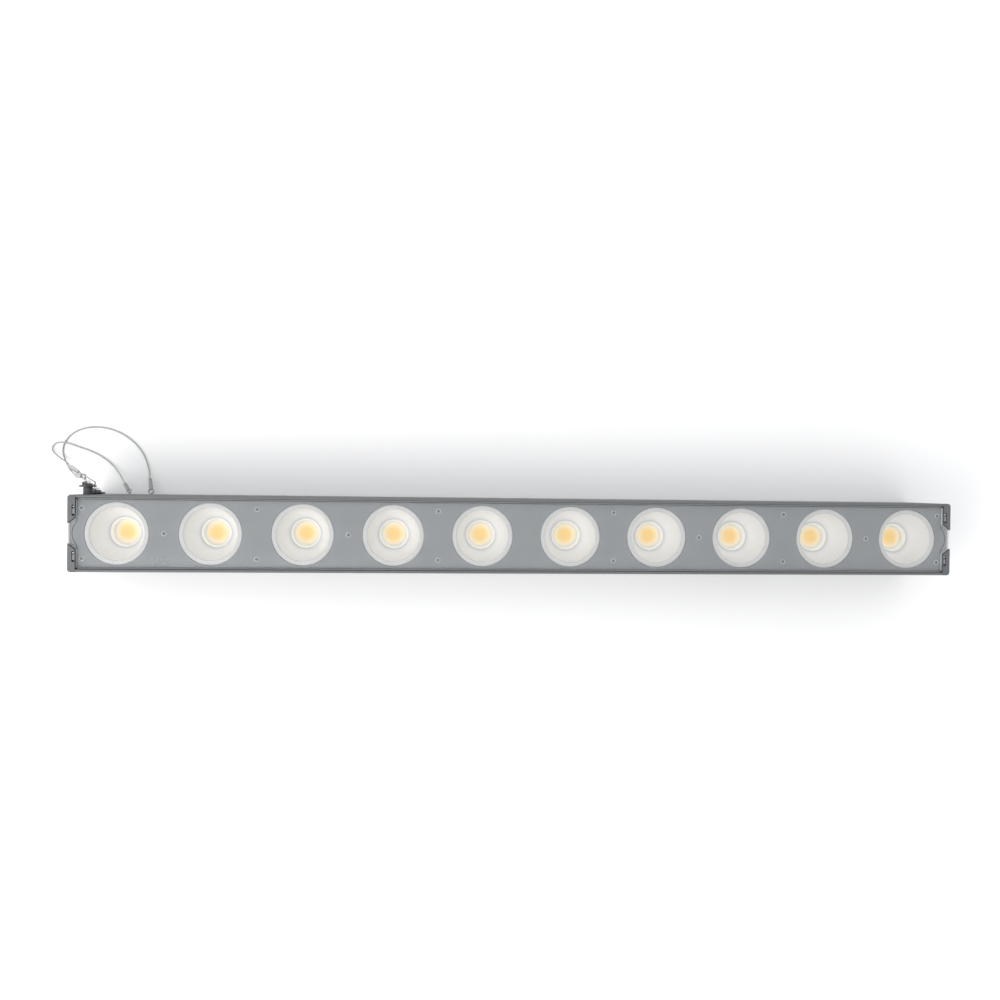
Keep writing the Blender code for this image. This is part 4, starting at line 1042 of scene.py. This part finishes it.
def make_connector(node, end, side, finish, pins):
    """Flush panel connector: flange with two screws, shell, cavity and contacts."""
    outer = LENGTH / 2
    y = side * SOCKET_Y
    place = frame_at((0.0, y, SOCKET_Z), (end, 0, 0))
    low, high = sorted((end * (outer - SOCKET_FLANGE_THICK), end * outer))
    shape = prism(filleted(around((y, SOCKET_Z), SOCKET_FLANGE), 2.0, 6), "X", low, high)
    body = mesh_object(f"{node}_shell", shape, finish)
    shell = turned([(0.0, 478.0), (SOCKET_RADIUS, 478.0), (SOCKET_RADIUS, 499.4), (0.0, 499.4)], place, 64)
    boolean(body, shell, "UNION")
    cavity = turned([(0.0, 486.0), (9.6, 486.0), (9.6, 499.5), (10.2, 500.2), (0.0, 500.2)], place, 64)
    across, up = SOCKET_SCREW
    for corner in (-1, 1):
        spot = (end * outer, y + corner * side * across, SOCKET_Z + corner * up)
        turn(cavity, [(0.0, -1.5), (1.8, -1.5), (1.8, 1.0), (0.0, 1.0)], frame_at(spot, (end, 0, 0)), 24)
    boolean(body, cavity)
    soften(body, 0.25, 2)
    settle(body, node)
    shape = bmesh.new()
    for corner in (-1, 1):
        spot = (end * (outer - 0.25), y + corner * side * across, SOCKET_Z + corner * up)
        hexagon_socket(shape, spot, (end, 0, 0), 1.6, 1.1, 0.8, 0.7, 0.25, 24)
    add_detail(f"{node}_screws", shape, "bright_steel")
    shape = bmesh.new()
    if pins:
        for turned_by in round_angles(pins):
            across, up = 4.6 * math.cos(turned_by + math.pi / 2), 4.6 * math.sin(turned_by + math.pi / 2)
            spot = (0.0, y + across, SOCKET_Z + up)
            tip = outer - 5.6
            profile = [(0.0, 486.1), (0.9, 486.1), (0.9, tip - 0.7), (0.6, tip - 0.15), (0.0, tip)]
            turn(shape, profile, frame_at(spot, (end, 0, 0)), 20)
        finish = "contact_gold"
    else:
        tip = outer - 2.0
        profile = [(0.0, 486.1), (4.4, 486.1), (4.4, tip - 0.4), (4.0, tip), (1.6, tip), (1.4, tip - 5.0)]
        turn(shape, profile + [(0.0, tip - 5.0)], place, 40)
    add_detail(f"{node}_core", shape, finish)


def make_vent():
    """Pressure plug with a slotted crown in the wall opposite the pins."""
    place = frame_at((VENT_X, -HALF, PANEL_Z), (0, 1, 0))
    profile = [(0.0, -1.5), (3.2, -1.5), (3.4, -1.8), (5.9, -1.8), (6.4, -1.7), (7.2, -1.2), (7.4, -0.8)]
    profile += [(7.4, -FIT), (5.9, -FIT), (5.9, 4.6), (0.0, 4.6)]
    shape = turned(profile, place, 48)
    vent = mesh_object("vent_plug", shape, "black_plastic")
    cutter = bmesh.new()
    for angle in round_angles(6):
        spot = Vector((VENT_X + 7.4 * math.cos(angle), -HALF - 0.8, PANEL_Z + 7.4 * math.sin(angle)))
        turn(cutter, [(0.0, -1.4), (0.8, -1.4), (0.8, 1.4), (0.0, 1.4)], frame_at(spot, (0, 1, 0)), 12)
    boolean(vent, cutter)
    settle(vent, "breather_vent")


# ---- inner parts, floor and light

def dress_inner_nodes():
    """CAD nodes that are kept as they are get their materials."""
    finishes = {
        "heat_sink": ("bare_aluminium", "sink_aluminium"),
        "power_supply": ("supply_case", "supply_case"),
        "driver_board": ("circuit_board", "board_green"),
        "control_board": ("circuit_board", "board_green"),
        "link_block_left": ("bare_aluminium", "block_aluminium"),
        "link_block_right": ("bare_aluminium", "block_aluminium"),
    }
    for node, (finish, slot) in finishes.items():
        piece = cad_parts[node]
        piece.data.materials.clear()
        piece.data.materials.append(FINISHES[finish].material)


def make_stage():
    shape = bmesh.new()
    corners = [(-4000.0, -4000.0), (4000.0, -4000.0), (4000.0, 4000.0), (-4000.0, 4000.0)]
    shape.faces.new([shape.verts.new((x, y, -0.05)) for x, y in corners])
    floor = mesh_object("floor", shape, "floor_white")
    world = bpy.data.worlds.new("studio")
    world.use_nodes = True
    tree = world.node_tree
    background = tree.nodes["Background"]
    background.inputs["Strength"].default_value = 1.05
    split = tree.nodes.new("ShaderNodeSeparateXYZ")
    tree.links.new(tree.nodes.new("ShaderNodeTexCoord").outputs["Generated"], split.inputs[0])
    sky = tree.nodes.new("ShaderNodeValToRGB")
    share = tree.nodes.new("ShaderNodeMapRange")
    share.inputs["From Min"].default_value = -1.0
    tree.links.new(split.outputs["X"], share.inputs["Value"])
    tree.links.new(share.outputs["Result"], sky.inputs["Fac"])
    for element, tone in zip(sky.color_ramp.elements, (1.35, 0.65)):
        element.color = (0.985 * tone, 0.99 * tone, tone, 1.0)
    tree.links.new(sky.outputs["Color"], background.inputs["Color"])
    bpy.context.scene.world = world
    lights = (
        ("key", (-1.05, -0.75, 1.35), (1.2, 0.8), 10.5, (1.0, 0.985, 0.965)),
        ("fill", (0.2, 1.3, 2.2), (1.6, 1.2), 3.0, (0.96, 0.98, 1.0)),
    )
    for name, place, (long, wide), power, colour in lights:
        data = bpy.data.lights.new(name, "AREA")
        data.shape = "RECTANGLE"
        data.size = long
        data.size_y = wide
        data.energy = power
        data.color = colour
        light = bpy.data.objects.new(name, data)
        light.location = place
        light.rotation_mode = "QUATERNION"
        light.rotation_quaternion = (-Vector(place)).to_track_quat("-Z", "Y")
        show(light)
    bpy.context.scene.view_settings.view_transform = "Standard"


make_finishes()
make_camera()
make_lanyards()
make_housing()
make_base_rail()
make_end_cap("end_cap_left", -1)
make_end_cap("end_cap_right", 1)
make_front()
make_lights()
for pin_name, pin_place in PINS.items():
    make_pin(pin_name, pin_place)
make_panel()
make_connector("power_inlet", -1, -1, "power_blue", 0)
make_connector("power_outlet", 1, -1, "power_grey", 0)
make_connector("data_inlet", -1, 1, "black_plastic", 5)
make_connector("data_outlet", 1, 1, "black_plastic", 5)
make_vent()
dress_inner_nodes()
make_stage()
